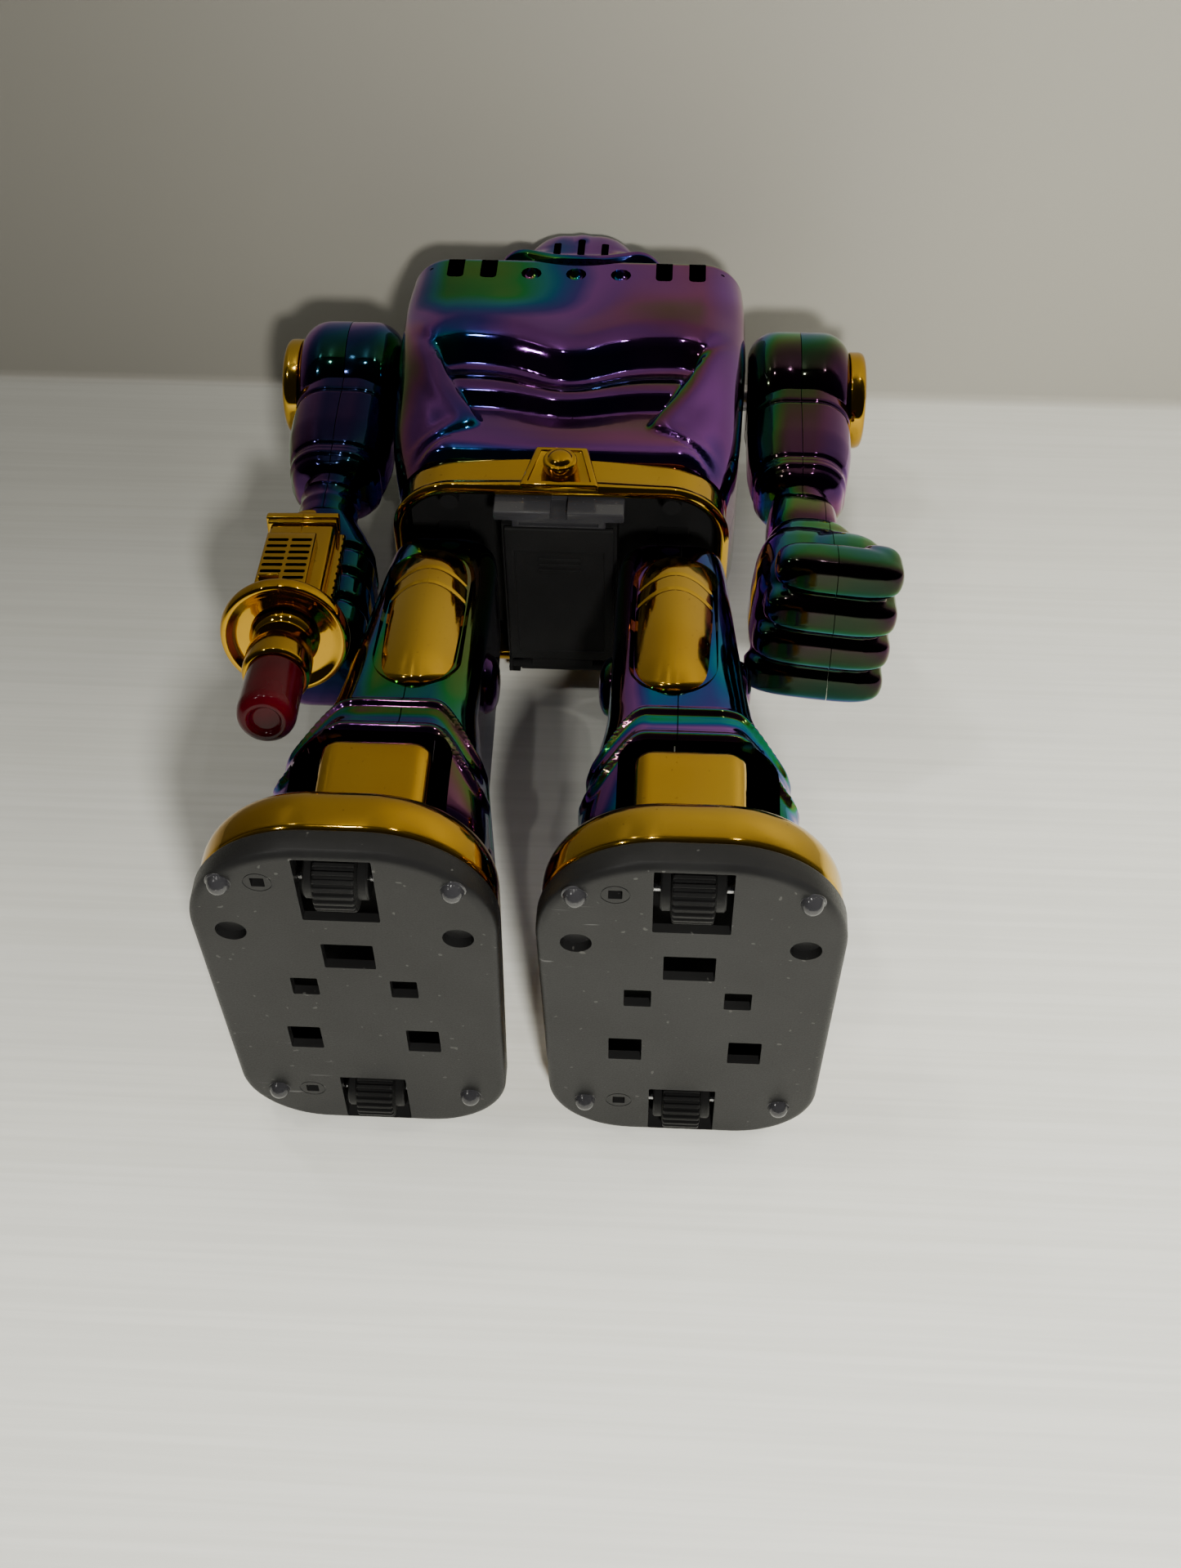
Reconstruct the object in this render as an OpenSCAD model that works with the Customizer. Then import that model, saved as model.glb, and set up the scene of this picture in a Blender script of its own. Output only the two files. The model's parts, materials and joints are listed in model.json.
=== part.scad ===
// Battery-powered walking robot toy with plated shells, a fist, a gun arm and roller shoes.
// It stands upright and faces -Y. +X is the robot's left. The rollers touch z = 0.

/* [Feet] */
// Distance from the middle of the robot to the middle of a foot
foot_x = 38; // [37:0.5:40]
// Width of a sole
foot_w = 68; // [64:1:70]
// Length of a sole
foot_len = 113; // [108:1:116]
// Height of the sole's underside above the floor
sole_z = 3.5; // [3:0.5:4]
// Height of the black sole tray
tray_h = 7; // [6.5:0.5:8]
// Top of the plated shoe
shoe_top = 25.5; // [24:0.5:26]
// Radius of a roller
wheel_r = 8; // [7.5:0.25:8]
// Radius of the round sockets in a sole
socket_r = 3.5; // [2.5:0.25:4]

/* [Legs] */
// Height of the ankle pivot
ankle_z = 42; // [41:0.5:43]
// Height of the hip pivot
hip_z = 144; // [142:0.5:145]
// Wall thickness of the plated shells
wall = 2.2; // [1.8:0.1:2.6]

/* [Torso] */
// Width of the chest
chest_w = 103; // [98:1:104]
// Height of the top of the chest
chest_top = 256.5; // [250:0.5:257]
// Height of the top of the head
head_top = 290; // [284:0.5:291]
// Width of the waist belt
belt_w = 93; // [90:1:94]
// Height of the shoulder pivots
shoulder_z = 230; // [228:0.5:232]
// Front-to-back place of the shoulder pivots
shoulder_y = 8; // [7:0.5:9]

/* [Arms] */
// Distance from the middle of the robot to the middle of an arm
arm_x = 68.2; // [68:0.1:69]
// Radius of the shoulder bulb
bulb_r = 20; // [18:0.5:21]
// Forward tilt of the gun and the fist
hand_tilt = 13; // [8:1:16]
// Radius of the gun's guard disc
guard_r = 17.2; // [15:0.2:18]
// Sideways lean of the gun towards the leg
gun_lean = 2.5; // [0:0.5:4]

/* [Fits] */
// Radius of the hip and ankle pins
pin_r = 3; // [2.5:0.25:3]
// Radial gap where a part turns on a pin
run_gap = 0.05; // [0.02:0.01:0.1]

/* [Hidden] */
$fn = 48;
fist_reach = 92.6;
front_y = -foot_len / 2;
toe_r = 28;
heel_r = 20;
tray_top = sole_z + tray_h;
floor_t = 2.4;
wheel_y = [-43.6, 46.2];
wheel_w = 9;
axle_r = 1.25;
ankle_y = 5;
ankle_x = 37.3;
hip_y = 13;
thigh_x = 31.6;
leg_seam_x = 34;
leg_in = 16.6;
belt_z = [158, 169.5];
belt_y = [-17.5, 51.5];
chest_seam_y = 14;
cell_r = 7.1;
cell_len = 50.5;
hinge_y = 46.8;
hinge_z = 152.6;
neck_y = 12;
gun_x = 72.7;
fist_x = 73;
wrist_z = 166;
neck_z = chest_top - 2.8;
head_z = chest_top + 2.6;
visor_up = 4.4;

rainbow = [0.32, 0.2, 0.5];
gold = [0.86, 0.66, 0.2];
black = [0.1, 0.1, 0.11];

// ---- helpers ----

// Four upright posts at the corners of a rectangle, to be wrapped in a hull
module posts(x0, x1, y0, y1, z, r, t = 0.2) {
  for (x = [x0 + r, x1 - r], y = [y0 + r, y1 - r])
    translate([x, y, z]) cylinder(r = r, h = t, $fn = 32);
}

// Exact rounded rectangle
module round_rect(w, d, r) {
  square([w - 2 * r, d], center = true);
  square([w, d - 2 * r], center = true);
  for (x = [-1, 1], y = [-1, 1])
    translate([x * (w / 2 - r), y * (d / 2 - r)]) circle(r = r);
}

// Rounded rectangular prism between two corners
module round_prism(x0, x1, y0, y1, z0, z1, r) {
  translate([(x0 + x1) / 2, (y0 + y1) / 2, z0])
    linear_extrude(z1 - z0) round_rect(x1 - x0, y1 - y0, r);
}

// Box between two corners
module block(x0, x1, y0, y1, z0, z1) {
  translate([x0, y0, z0]) cube([x1 - x0, y1 - y0, z1 - z0]);
}

// Cylinder along X from x0 to x1
module x_rod(x0, x1, y, z, r) {
  translate([x0, y, z]) rotate([0, 90, 0]) cylinder(r = r, h = x1 - x0);
}

// Everything sided is drawn for the robot's left (+X) and mirrored for its right
module sided(side) {
  if (side < 0) mirror([1, 0, 0]) children();
  else children();
}

// ---- feet ----

// Points along an arc of a circle
function arc(cx, cy, r, from, to, n = 12) =
  [for (i = [0:n]) let (a = from + (to - from) * i / n) [cx + r * cos(a), cy + r * sin(a)]];

// Outline of a sole, shrunk by g: wide round toe, slightly narrower heel
function sole_outline(g) = concat(
  arc(-foot_w / 2 + toe_r, front_y + toe_r, toe_r - g, 180, 270),
  arc(foot_w / 2 - toe_r, front_y + toe_r, toe_r - g, 270, 360),
  arc(foot_w / 2 - 1.3 - heel_r, -front_y - heel_r, heel_r - g, 0, 90, 9),
  arc(-foot_w / 2 + 1.3 + heel_r, -front_y - heel_r, heel_r - g, 90, 180, 9)
);

// Slab with a sole's outline
module sole_slab(g, z, t = 0.2) {
  translate([0, 0, z]) linear_extrude(t) polygon(sole_outline(g));
}

// Black tray under a shoe, with roller slots, sockets and moulding holes
module sole(side) color(black) translate([side * foot_x, 0, 0]) difference() {
  union() {
    difference() {
      sole_slab(0, sole_z, tray_h);
      sole_slab(2.2, sole_z + floor_t, tray_h);
    }
    for (s = [-1, 1]) translate([s * 25.1, -27.3, sole_z + 1]) cylinder(r = socket_r + 1.5, h = tray_h - 1);
    for (y = wheel_y, s = [-1, 1])
      block(s * 10.6 - 1.4, s * 10.6 + 1.4, y - 4, y + 4, sole_z + 1, tray_top);
  }
  block(-8.5, 8.5, front_y + 2, -32.5, 0, tray_top + 1);
  block(-8.1, 8.1, 35.6, 55, 0, tray_top + 1);
  for (s = [-1, 1]) {
    translate([s * 25.1, -27.3, 0]) cylinder(r = socket_r, h = 20);
    block(s * 11.4 - 3.1, s * 11.4 + 3.1, -9, -2.2, 0, 9);
    block(s * 14.1 - 3.9, s * 14.1 + 3.9, 12.3, 21.7, 0, 9);
  }
  block(-5.8, 5.8, -23.2, -13.8, 0, 9);
  block(-18, -15, -47.5, -44.5, 0, 9);
  block(-17, -14, 40, 43, 0, 9);
  for (y = wheel_y) x_rod(-14, 14, y, wheel_r, axle_r);
}

// Four glossy domed studs pressed under a sole
module studs(side) color(black) translate([side * foot_x, 0, 0])
  for (p = [[-25, -45.2], [25, -45.2], [-23.8, 42], [23.8, 42]])
    translate([p[0], p[1], sole_z]) rotate([180, 0, 0]) intersection() {
      sphere(r = 2.7);
      cylinder(r = 2.6, h = 2.7);
    }

// Two steel axles of a foot
module axles(side) color([0.7, 0.7, 0.72]) translate([side * foot_x, 0, 0])
  for (y = wheel_y) x_rod(-12.6, 12.6, y, wheel_r, axle_r);

// Ribbed roller with a plain collar on each side
module wheel(side, y) color(black) translate([side * foot_x, y, wheel_r]) rotate([0, 90, 0]) difference() {
  union() {
    translate([0, 0, -wheel_w / 2]) cylinder(r = wheel_r - 0.5, h = wheel_w);
    for (i = [0:23]) rotate([0, 0, i * 15])
      translate([wheel_r - 1, -0.55, -wheel_w / 2]) cube([1, 1.1, wheel_w]);
    translate([0, 0, -7]) cylinder(r = 5.4, h = 14);
  }
  translate([0, 0, -8]) cylinder(r = axle_r + run_gap, h = 16);
}

// Plated shoe upper with a rounded top edge
module shoe(side) color(gold) translate([side * foot_x, 0, 0]) difference() {
  hull() {
    sole_slab(0.9, tray_top);
    sole_slab(1, tray_top + 7);
    sole_slab(3.4, shoe_top - 3);
    sole_slab(8.5, shoe_top - 0.2);
  }
  hull() {
    sole_slab(2.2, tray_top - 1);
    sole_slab(3.1, tray_top + 6);
    sole_slab(9, shoe_top - wall - 0.2);
  }
}

// Plated block that stands on a shoe and carries the ankle pin
module ankle_block(side) color(gold) sided(side) difference() {
  hull() {
    posts(ankle_x - 13.3, ankle_x + 13.3, -28.5, 24, shoe_top, 4);
    posts(ankle_x - 13.3, ankle_x + 13.3, -28.5, 24, 55, 4);
    posts(ankle_x - 11.3, ankle_x + 11.3, -26, 21.5, 59.3, 4);
  }
  hull() {
    posts(ankle_x - 8, ankle_x + 8, -26, -8, shoe_top + 2, 2);
    posts(ankle_x - 8, ankle_x + 8, -24, -8, 56, 2);
  }
  x_rod(0, 80, ankle_y, ankle_z, pin_r + run_gap);
}

// ---- legs ----

// Outer form of a leg, shrunk by g for the hollow
module leg_upper(g) hull() {
  posts(19 + g, 44 - g, -3 + g, 28 - g, 152.5 - g, 9 - g);
  posts(leg_in + g, 46.5 - g, -8.5 + g, 35 - g, 144 - g, 9 - g);
  posts(leg_in + 0.2 + g, 53 - g, -19 + g, 46 - g, 84, 10 - g);
}
module leg_lower(g) hull() {
  posts(leg_in + 0.2 + g, 53 - g, -19 + g, 46 - g, 84, 10 - g);
  posts(12.3 + g, 62.4 - g, -23 + g, 50 - g, 60, 12 - g);
  posts(11 + g, 63.6 - g, -22 + g, 51 - g, 46, 12 - g);
  posts(13 + g, 61.6 - g, -8 + g, 30 - g, 34 - g, 8 - g);
}

// Capsule outline of the thigh plate, which leans with the front of the leg
module thigh_capsule(r, back, front) hull() {
  for (p = [[-12.2, 130.5], [-18.2, 96]])
    translate([thigh_x + 1, p[0] + back, p[1]]) rotate([90, 0, 0]) cylinder(r = r, h = back + front, $fn = 32);
}

// One half shell of a leg: the outer half is away from the middle of the robot
module leg_half(side, outer) color(rainbow) sided(side) difference() {
  union() {
    difference() {
      union() {
        leg_upper(0);
        leg_lower(0);
      }
      leg_upper(wall);
      leg_lower(wall);
    }
    intersection() {
      leg_upper(0.5);
      x_rod(leg_in + 0.5, 46, hip_y, hip_z, 6);
    }
    intersection() {
      x_rod(11.8, 63, ankle_y, ankle_z, 6.5);
      leg_lower(0.5);
    }
    x_rod(9.6, 12, ankle_y, ankle_z, 8.5);
    x_rod(62.6, 65, ankle_y, ankle_z, 8.5);
  }
  // hip opening for the hanger, and the free space round it
  block(25.5, 37.5, -1, 27, 130, 160);
  // ankle space
  block(23.2, 51.4, -60, 60, 20, 67);
  // arched openings at the front and the back
  translate([ankle_x + 2, 60, 0]) rotate([90, 0, 0]) linear_extrude(120) {
    translate([-19, 0]) square([38, 60]);
    translate([-13, 0]) square([26, 66]);
    for (s = [-1, 1]) translate([s * 13, 60]) circle(r = 6);
  }
  thigh_capsule(11.4, 4, 3);
  x_rod(leg_in + 2.5, 44, hip_y, hip_z, pin_r + 0.02);
  x_rod(12.5, 62, ankle_y, ankle_z, pin_r + 0.02);
  if (outer) block(-10, leg_seam_x, -80, 80, 0, 200);
  else block(leg_seam_x, 90, -80, 80, 0, 200);
}

// Gold plate let into the front of a thigh
module thigh_plate(side) color(gold) sided(side) difference() {
  thigh_capsule(11.3, 2.4, 1.8);
  for (z = [118.5, 125])
    translate([thigh_x + 1, -16 + (z - 118.5) * 0.17, z - 22]) rotate([90, 0, 0]) difference() {
      cylinder(r = 22.5, h = 4);
      cylinder(r = 21.9, h = 4);
    }
}

module hip_pin(side) color([0.7, 0.7, 0.72]) sided(side) x_rod(leg_in + 2.6, 43.8, hip_y, hip_z, pin_r);
module ankle_pin(side) color([0.7, 0.7, 0.72]) sided(side) x_rod(12.6, 61.8, ankle_y, ankle_z, pin_r);

// ---- pelvis ----

module waist_belt() color(gold) difference() {
  union() {
    round_prism(-belt_w / 2, belt_w / 2, belt_y[0], belt_y[1], belt_z[0], belt_z[1], 17);
    round_prism(-belt_w / 2 - 0.8, belt_w / 2 + 0.8, belt_y[0] - 0.8, belt_y[1] + 0.8, belt_z[0], belt_z[0] + 1.6, 17.8);
  }
  round_prism(-belt_w / 2 + 2.4, belt_w / 2 - 2.4, belt_y[0] + 2.4, belt_y[1] - 2.4, belt_z[0] - 1, belt_z[1] + 1, 14.6);
}

// Raised trapezoid on the front of the belt
module belt_buckle() color(gold) translate([0, belt_y[0] - 0.8, 0]) rotate([90, 0, 0])
  difference() {
    linear_extrude(3.4) polygon([[-11, 156.4], [11, 156.4], [7.4, 169.5], [-7.4, 169.5]]);
    translate([0, 0, -1]) linear_extrude(2) polygon([[-9, 157], [9, 157], [6, 168], [-6, 168]]);
  }

module buckle_button() color(gold) translate([0, belt_y[0] - 4.2, 164.4]) rotate([90, 0, 0]) rotate_extrude()
  intersection() {
    translate([0, -2.2]) circle(r = 5.2);
    square([4.8, 3.2]);
  }

// Black chassis: ceiling of the pelvis, battery box and hip hangers
module pelvis_frame() color(black) difference() {
  union() {
    round_prism(-43.6, 43.6, -14.6, 47, 170, 172.4, 14.2);
    block(-16, 16, -9, 48.6, 153.6, 169.2);
    block(-16, 16, -9, 47, 169, 172.2);
    for (s = [-1, 1]) {
      block(s * 31.5 - 4.4, s * 31.5 + 4.4, hip_y - 7, hip_y + 7, hip_z, 171);
      x_rod(s * 31.5 - 4.4, s * 31.5 + 4.4, hip_y, hip_z, 7);
      x_rod(s * 14.2 - 1.6, s * 14.2 + 1.6, hinge_y, hinge_z, 2.4);
      translate([s * 31, -11, 159.6]) cylinder(r = 2.6, h = 11);
    }
  }
  block(-14.8, 14.8, -7.4, 48, 150, 168.4);
  for (s = [-1, 1]) {
    x_rod(s * 31.5 - 5, s * 31.5 + 5, hip_y, hip_z, pin_r + run_gap);
  }
  x_rod(-17, 17, hinge_y, hinge_z, 1.25);
  block(-12.3, 12.3, hinge_y - 2.8, 52, 149, 156);
}

// T-shaped catch that the door's front edge clips under
module battery_latch() color(black) difference() {
  union() {
    block(-18, 18, -14.8, -11.6, 152, 169.8);
    block(-13, 13, -11.6, -9.2, 152, 169.8);
  }
  block(-2.4, 2.4, -16, -12.8, 150, 160);
}

module battery_cells() color([0.55, 0.4, 0.2]) for (s = [-1, 1])
  translate([s * 7.3, 20.3 - cell_len / 2 + 0.4, 161]) rotate([-90, 0, 0]) {
    cylinder(r = cell_r, h = cell_len - 1.2);
    translate([0, 0, cell_len - 1.2]) cylinder(r = 2.7, h = 1);
  }

module battery_contacts() color([0.75, 0.75, 0.72]) {
  for (s = [-1, 1]) block(s * 7.3 - 5, s * 7.3 + 5, -7, -6, 156, 166);
  block(-12.3, 12.3, 47.2, 47.8, 156.2, 166);
}

// Floor door of the battery box, hinged at its back edge
module battery_door() color(black) {
  block(-15.2, 15.2, -9, hinge_y - 3.2, 151.4, 153.3);
  block(-9, 9, hinge_y - 3.4, hinge_y, 151.2, 153.1);
  x_rod(-12.1, 12.1, hinge_y, hinge_z, 1.6);
  x_rod(-15.6, 15.6, hinge_y, hinge_z, 1.2);
  for (i = [0:2]) block(-6, 6, 2 + i * 2.2, 3 + i * 2.2, 150.8, 151.6);
}

// ---- torso ----

// Outer form of the chest, shrunk by g for the hollow
module chest_form(g) hull() {
  posts(-46.5 + g, 46.5 - g, -17.5 + g, 50 - g, belt_z[1] - (g > 0 ? 1 : 0), 17 - g);
  posts(-chest_w / 2 + 1.5 + g, chest_w / 2 - 1.5 - g, -22.5 + g, 52 - g, 188, 15 - g);
  posts(-chest_w / 2 + g, chest_w / 2 - g, -25.5 + g, 52 - g, 222, 14 - g);
  posts(-chest_w / 2 + g, chest_w / 2 - g, -23.6 + g, 52 - g, 251.5 - g, 13 - g);
  posts(-47.5 + g, 47.5 - g, -20 + g, 48.5 - g, chest_top - 0.2 - g, 12 - g);
}

module chest_half(front) color(rainbow) difference() {
  union() {
    difference() {
      chest_form(0);
      chest_form(2.4);
    }
    if (front) for (s = [-1, 1]) x_rod(s * 45.4 - 4, s * 45.4 + 4, shoulder_y, shoulder_z, 5.8);
  }
  for (s = [-1, 1]) {
    x_rod(s * 45 - 8, s * 45 + 8, shoulder_y, shoulder_z, 4 + run_gap);
    for (x = [26.5, 36.5]) block(s * x - 2.5, s * x + 2.5, -25, -14.5, 244.5, 255);
  }
  translate([0, neck_y, 240]) cylinder(r = 10, h = 30);
  if (front) {
    block(-90, 90, chest_seam_y, 80, 100, 300);
    for (x = [-13.5, 0, 13.5]) translate([x, -23.4, 248]) sphere(r = 3);
  } else {
    block(-90, 90, -80, chest_seam_y, 100, 300);
    block(17, 23, 40, 60, 180, 193);
    for (i = [0:4]) block(-14, 14, 40, 60, 205 + i * 6, 207.4 + i * 6);
  }
}
module chest_shell() chest_half(true);
module back_shell() chest_half(false);

// Slider of the power switch in the back
module power_switch() color(black) {
  block(15.5, 24.5, 45.4, 48, 178, 192);
  block(17.4, 22.6, 48, 53.4, 180.6, 186);
}

module gearbox_case() color([0.75, 0.75, 0.78]) difference() {
  block(-24, 24, -12, 40, 172.4, 206);
  block(-21.6, 21.6, -9.6, 37.6, 174.8, 220);
}

module motor() color([0.6, 0.6, 0.62]) {
  x_rod(-15, 12, 14, 190, 11);
  x_rod(12, 18, 14, 190, 1);
}

module neck_post() color(black) translate([0, neck_y, 0]) difference() {
  union() {
    translate([0, 0, neck_z - 3]) cylinder(r = 13, h = 3);
    translate([0, 0, neck_z - 3]) cylinder(r = 9.8, h = 8);
    translate([0, 0, neck_z]) cylinder(r = 7, h = 15);
  }
  translate([0, 0, neck_z - 10]) cylinder(r = 4, h = 40);
}

// ---- head ----

// Wide brow below a narrower crown, shrunk by g for the hollow
module head_form(g) {
  hull() {
    posts(-21 + g, 21 - g, -9 + g, 33 - g, head_z + (g > 0 ? 2 : 0), 13 - g);
    posts(-26 + g, 26 - g, -13.6 + g, 37 - g, head_z + 6, 16 - g);
    posts(-26.6 + g, 26.6 - g, -14 + g, 37.5 - g, head_z + 9.6 - g, 16 - g);
  }
  hull() {
    posts(-24 + g, 24 - g, -12.8 + g, 36 - g, head_z + 8.8 - g, 15 - g);
    posts(-19 + g, 19 - g, -11.4 + g, 33 - g, head_z + 20 - g, 12 - g);
    posts(-12 + g, 12 - g, -5 + g, 28 - g, head_top - 0.2 - g, 7 - g);
  }
}

// Half of the head; the front half has the visor slot and three vents
module head_half(front) color(rainbow) difference() {
  union() {
    difference() {
      head_form(0);
      head_form(2.2);
    }
    intersection() {
      translate([0, neck_y, head_z]) cylinder(r = 12, h = 8);
      head_form(0.2);
    }
  }
  translate([0, neck_y, head_z - 4]) cylinder(r = 7 + run_gap, h = 14);
  translate([0, neck_y, head_z - 4]) cylinder(r = 6, h = 26);
  if (front) {
    block(-90, 90, neck_y, 80, 100, 300);
    block(-17, 17, -20, -8, head_z + visor_up - 2.9, head_z + visor_up + 2.9);
    for (x = [-7.5, 0, 7.5]) block(x - 1.1, x + 1.1, -20, -4, head_z + 11, head_z + 18);
  } else block(-90, 90, -80, neck_y, 100, 300);
}
module head_front() head_half(true);
module head_back() head_half(false);
module head_visor() color(black) hull() {
  for (x = [-15.8, 15.8]) translate([x, -8.6, head_z + visor_up]) rotate([90, 0, 0]) cylinder(r = 1, h = 2.4, $fn = 32);
  for (x = [-8, 8]) translate([x, -8.6, head_z + visor_up]) rotate([90, 0, 0]) cylinder(r = 2.6, h = 2.6, $fn = 32);
}

// ---- arms ----

// Turned shoulder bulb along X, shrunk by g
module bulb(g) translate([arm_x - 15.6 + g, shoulder_y, shoulder_z]) rotate([0, 90, 0]) rotate_extrude() {
  translate([0, 9 - g]) square([bulb_r - g, 13.2]);
  square([bulb_r - 9, 31.2 - 2 * g]);
  for (z = [9 - g, 22.2 - g]) translate([bulb_r - 9, z]) intersection() {
    circle(r = 9 - g);
    translate([0, -20]) square([20, 40]);
  }
}

// Barrel-shaped upper arm and slim forearm below the bulb, shrunk by g
module arm_limb(g) {
  hull() {
    posts(arm_x - 15.6 + g, arm_x + 15.6 - g, shoulder_y - 15 + g, shoulder_y + 15 - g, shoulder_z - 4, 11 - g);
    posts(arm_x - 15.6 + g, arm_x + 15.6 - g, shoulder_y - 15 + g, shoulder_y + 15 - g, 199, 11 - g);
    posts(arm_x - 12.6 + g, arm_x + 12.6 - g, shoulder_y - 12.4 + g, shoulder_y + 12.4 - g, 184, 10 - g);
    posts(arm_x - 10.6 + g, arm_x + 10.6 - g, shoulder_y - 10.6 + g, shoulder_y + 10.6 - g, 181 + g, 9 - g);
  }
  translate([arm_x, shoulder_y - 1.5, wrist_z]) cylinder(r = 8.6 - g, h = 20);
}

// One half shell of an arm, split down its middle
module arm_half(side, outer) color(rainbow) sided(side) difference() {
  union() {
    difference() {
      union() {
        bulb(0);
        arm_limb(0);
      }
      bulb(wall);
      arm_limb(wall);
    }
    if (!outer) x_rod(arm_x - 15, arm_x - 4, shoulder_y, shoulder_z, 6.5);
    intersection() {
      arm_limb(0.4);
      block(0, 100, -40, 60, wrist_z, wrist_z + 3);
    }
  }
  x_rod(arm_x - 20, arm_x - 3.5, shoulder_y, shoulder_z, 4.02);
  if (outer) block(0, arm_x, -80, 80, 100, 300);
  else block(arm_x, 130, -80, 80, 100, 300);
}

// Large gold disc on the outer side of a shoulder
module shoulder_disc(side) color(gold) sided(side)
  translate([arm_x + 15.6, shoulder_y, shoulder_z]) rotate([0, 90, 0]) rotate_extrude()
    polygon([[0, 0], [14.5, 0], [14.5, 3.4], [13, 4.6], [9.5, 4.4], [8.6, 3.6], [7.6, 5], [0, 5.6]]);

// Pin that hangs an arm on the chest, with a retaining head inside the chest
module shoulder_axle(side) color([0.7, 0.7, 0.72]) sided(side) {
  x_rod(38, arm_x - 4, shoulder_y, shoulder_z, 4);
  x_rod(37.4, 41, shoulder_y, shoulder_z, 6.4);
}

// Places a hand piece at the wrist: its own -Z leaves the forearm
module at_wrist(side, x) translate([side * x, shoulder_y - 1.5, wrist_z]) rotate([-hand_tilt, 0, 0]) children();

// Closed fist: palm block and four finger rolls, turned a little about the forearm
module left_fist() color(rainbow) intersection() {
  at_wrist(1, fist_x) rotate([0, 0, 6]) {
    hull() {
      translate([-4.8, 0, -2]) posts(-8.4, 8.4, -8.4, 8.4, 0, 7);
      posts(-20, 15, -16, 20, -16, 8);
      posts(-20, 15, -19, 22, -44, 8);
    }
    for (i = [0:3]) hull() for (x = [-13 - 1.2 * i, 15])
      translate([x, -17.4 + i * 11.3, -44.5 + abs(i - 1.2) * 1.2]) sphere(r = 6, $fn = 24);
    hull() {
      translate([15, -16, -32]) sphere(r = 6, $fn = 24);
      translate([14, 16, -32]) sphere(r = 6, $fn = 24);
      translate([6, 0, -12]) sphere(r = 6, $fn = 24);
    }
  }
  block(51.9, fist_reach, -60, 60, 90, wrist_z);
}

// Plated hand behind and inside the gun, cut to fit it
module right_hand() color(rainbow) difference() {
  hull() {
    posts(-77, -58, -2, 15, wrist_z - 0.4, 8);
    posts(-79, -51.9, -2, 24, 152, 8);
    posts(-78, -51.9, -1, 27, 122, 8);
    posts(-74, -54, 4, 24, 113, 8);
  }
  at_gun() block(-13, 12.8, -30, 12.4, -60, 3);
}

// Places a gun piece: its own -Z runs towards the muzzle
module at_gun() at_wrist(-1, gun_x) rotate([0, -gun_lean, 0]) children();

// Ribbed body of the hand gun with its square rear flange
module gun_body() color(gold) intersection() {
  at_gun() {
    translate([1, 0, -11]) cylinder(r = 7.6, h = 13);
    block(-10, 10.4, -11, 12, -12.6, -10.2);
    block(-8.6, 9.4, -9.6, 11, -51, -12.4);
    block(-8, 5.6, -12.4, -9, -50.6, -23);
    for (i = [0:6], s = [-1, 1]) block(s * 3.2 - 4, s * 3.2 + 1.6, -13, -12, -47 + i * 3.2, -45.4 + i * 3.2);
    block(9.4, 12.2, -6, 8, -48, -13);
  }
  block(-120, 0, -60, 60, 90, wrist_z);
}

module gun_guard() color(gold) at_gun() translate([0, 0, -57.5]) rotate_extrude() {
  polygon([[0, 0], [guard_r - 1, 0], [guard_r, 1], [guard_r, 3], [11, 5.6], [0, 6.5]]);
}

module gun_barrel() color(gold) at_gun() translate([0, 0, -75]) rotate_extrude() difference() {
  polygon([[0, 0], [8.8, 0], [8.8, 10], [7.4, 11], [7.4, 17.5], [0, 17.5]]);
  square([3, 14]);
}

// Translucent tip with a rounded end
module gun_tip() color([0.5, 0.02, 0.06]) at_gun() translate([0, 0, -94]) rotate_extrude() difference() {
  union() {
    translate([0, 2]) square([7.6, 17]);
    square([5.6, 19]);
    translate([5.6, 2]) circle(r = 2);
  }
  translate([0, 2.4]) square([5.4, 30]);
}

// ---- nodes ----

chest_shell();
back_shell();
waist_belt();
belt_buckle();
buckle_button();
pelvis_frame();
battery_latch();
battery_cells();
battery_contacts();
gearbox_case();
motor();
neck_post();
battery_door();
power_switch();
head_front();
head_back();
head_visor();
arm_half(-1, true);  // right_arm_outer
arm_half(-1, false);  // right_arm_inner
shoulder_disc(-1);  // right_shoulder_disc
shoulder_axle(-1);  // right_shoulder_axle
right_hand();
gun_body();
gun_guard();
gun_barrel();
gun_tip();
arm_half(1, true);  // left_arm_outer
arm_half(1, false);  // left_arm_inner
shoulder_disc(1);  // left_shoulder_disc
shoulder_axle(1);  // left_shoulder_axle
left_fist();
leg_half(-1, true);  // right_leg_outer
leg_half(-1, false);  // right_leg_inner
thigh_plate(-1);  // right_thigh_plate
hip_pin(-1);  // right_hip_pin
ankle_pin(-1);  // right_ankle_pin
leg_half(1, true);  // left_leg_outer
leg_half(1, false);  // left_leg_inner
thigh_plate(1);  // left_thigh_plate
hip_pin(1);  // left_hip_pin
ankle_pin(1);  // left_ankle_pin
shoe(-1);  // right_shoe
ankle_block(-1);  // right_ankle_block
sole(-1);  // right_sole
studs(-1);  // right_studs
axles(-1);  // right_axles
shoe(1);  // left_shoe
ankle_block(1);  // left_ankle_block
sole(1);  // left_sole
studs(1);  // left_studs
axles(1);  // left_axles
wheel(-1, wheel_y[0]);  // right_front_wheel
wheel(-1, wheel_y[1]);  // right_rear_wheel
wheel(1, wheel_y[0]);  // left_front_wheel
wheel(1, wheel_y[1]);  // left_rear_wheel
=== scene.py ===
"""Visual model of a plated walking robot toy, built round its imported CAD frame.

The robot stands on z = 0 and faces -Y, and +X is its left. Lengths in this script are millimetres until a mesh is
made. The camera looks at it from below and in front, as if it lay on its back with its soles towards the viewer.
"""
import json
import math

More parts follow.
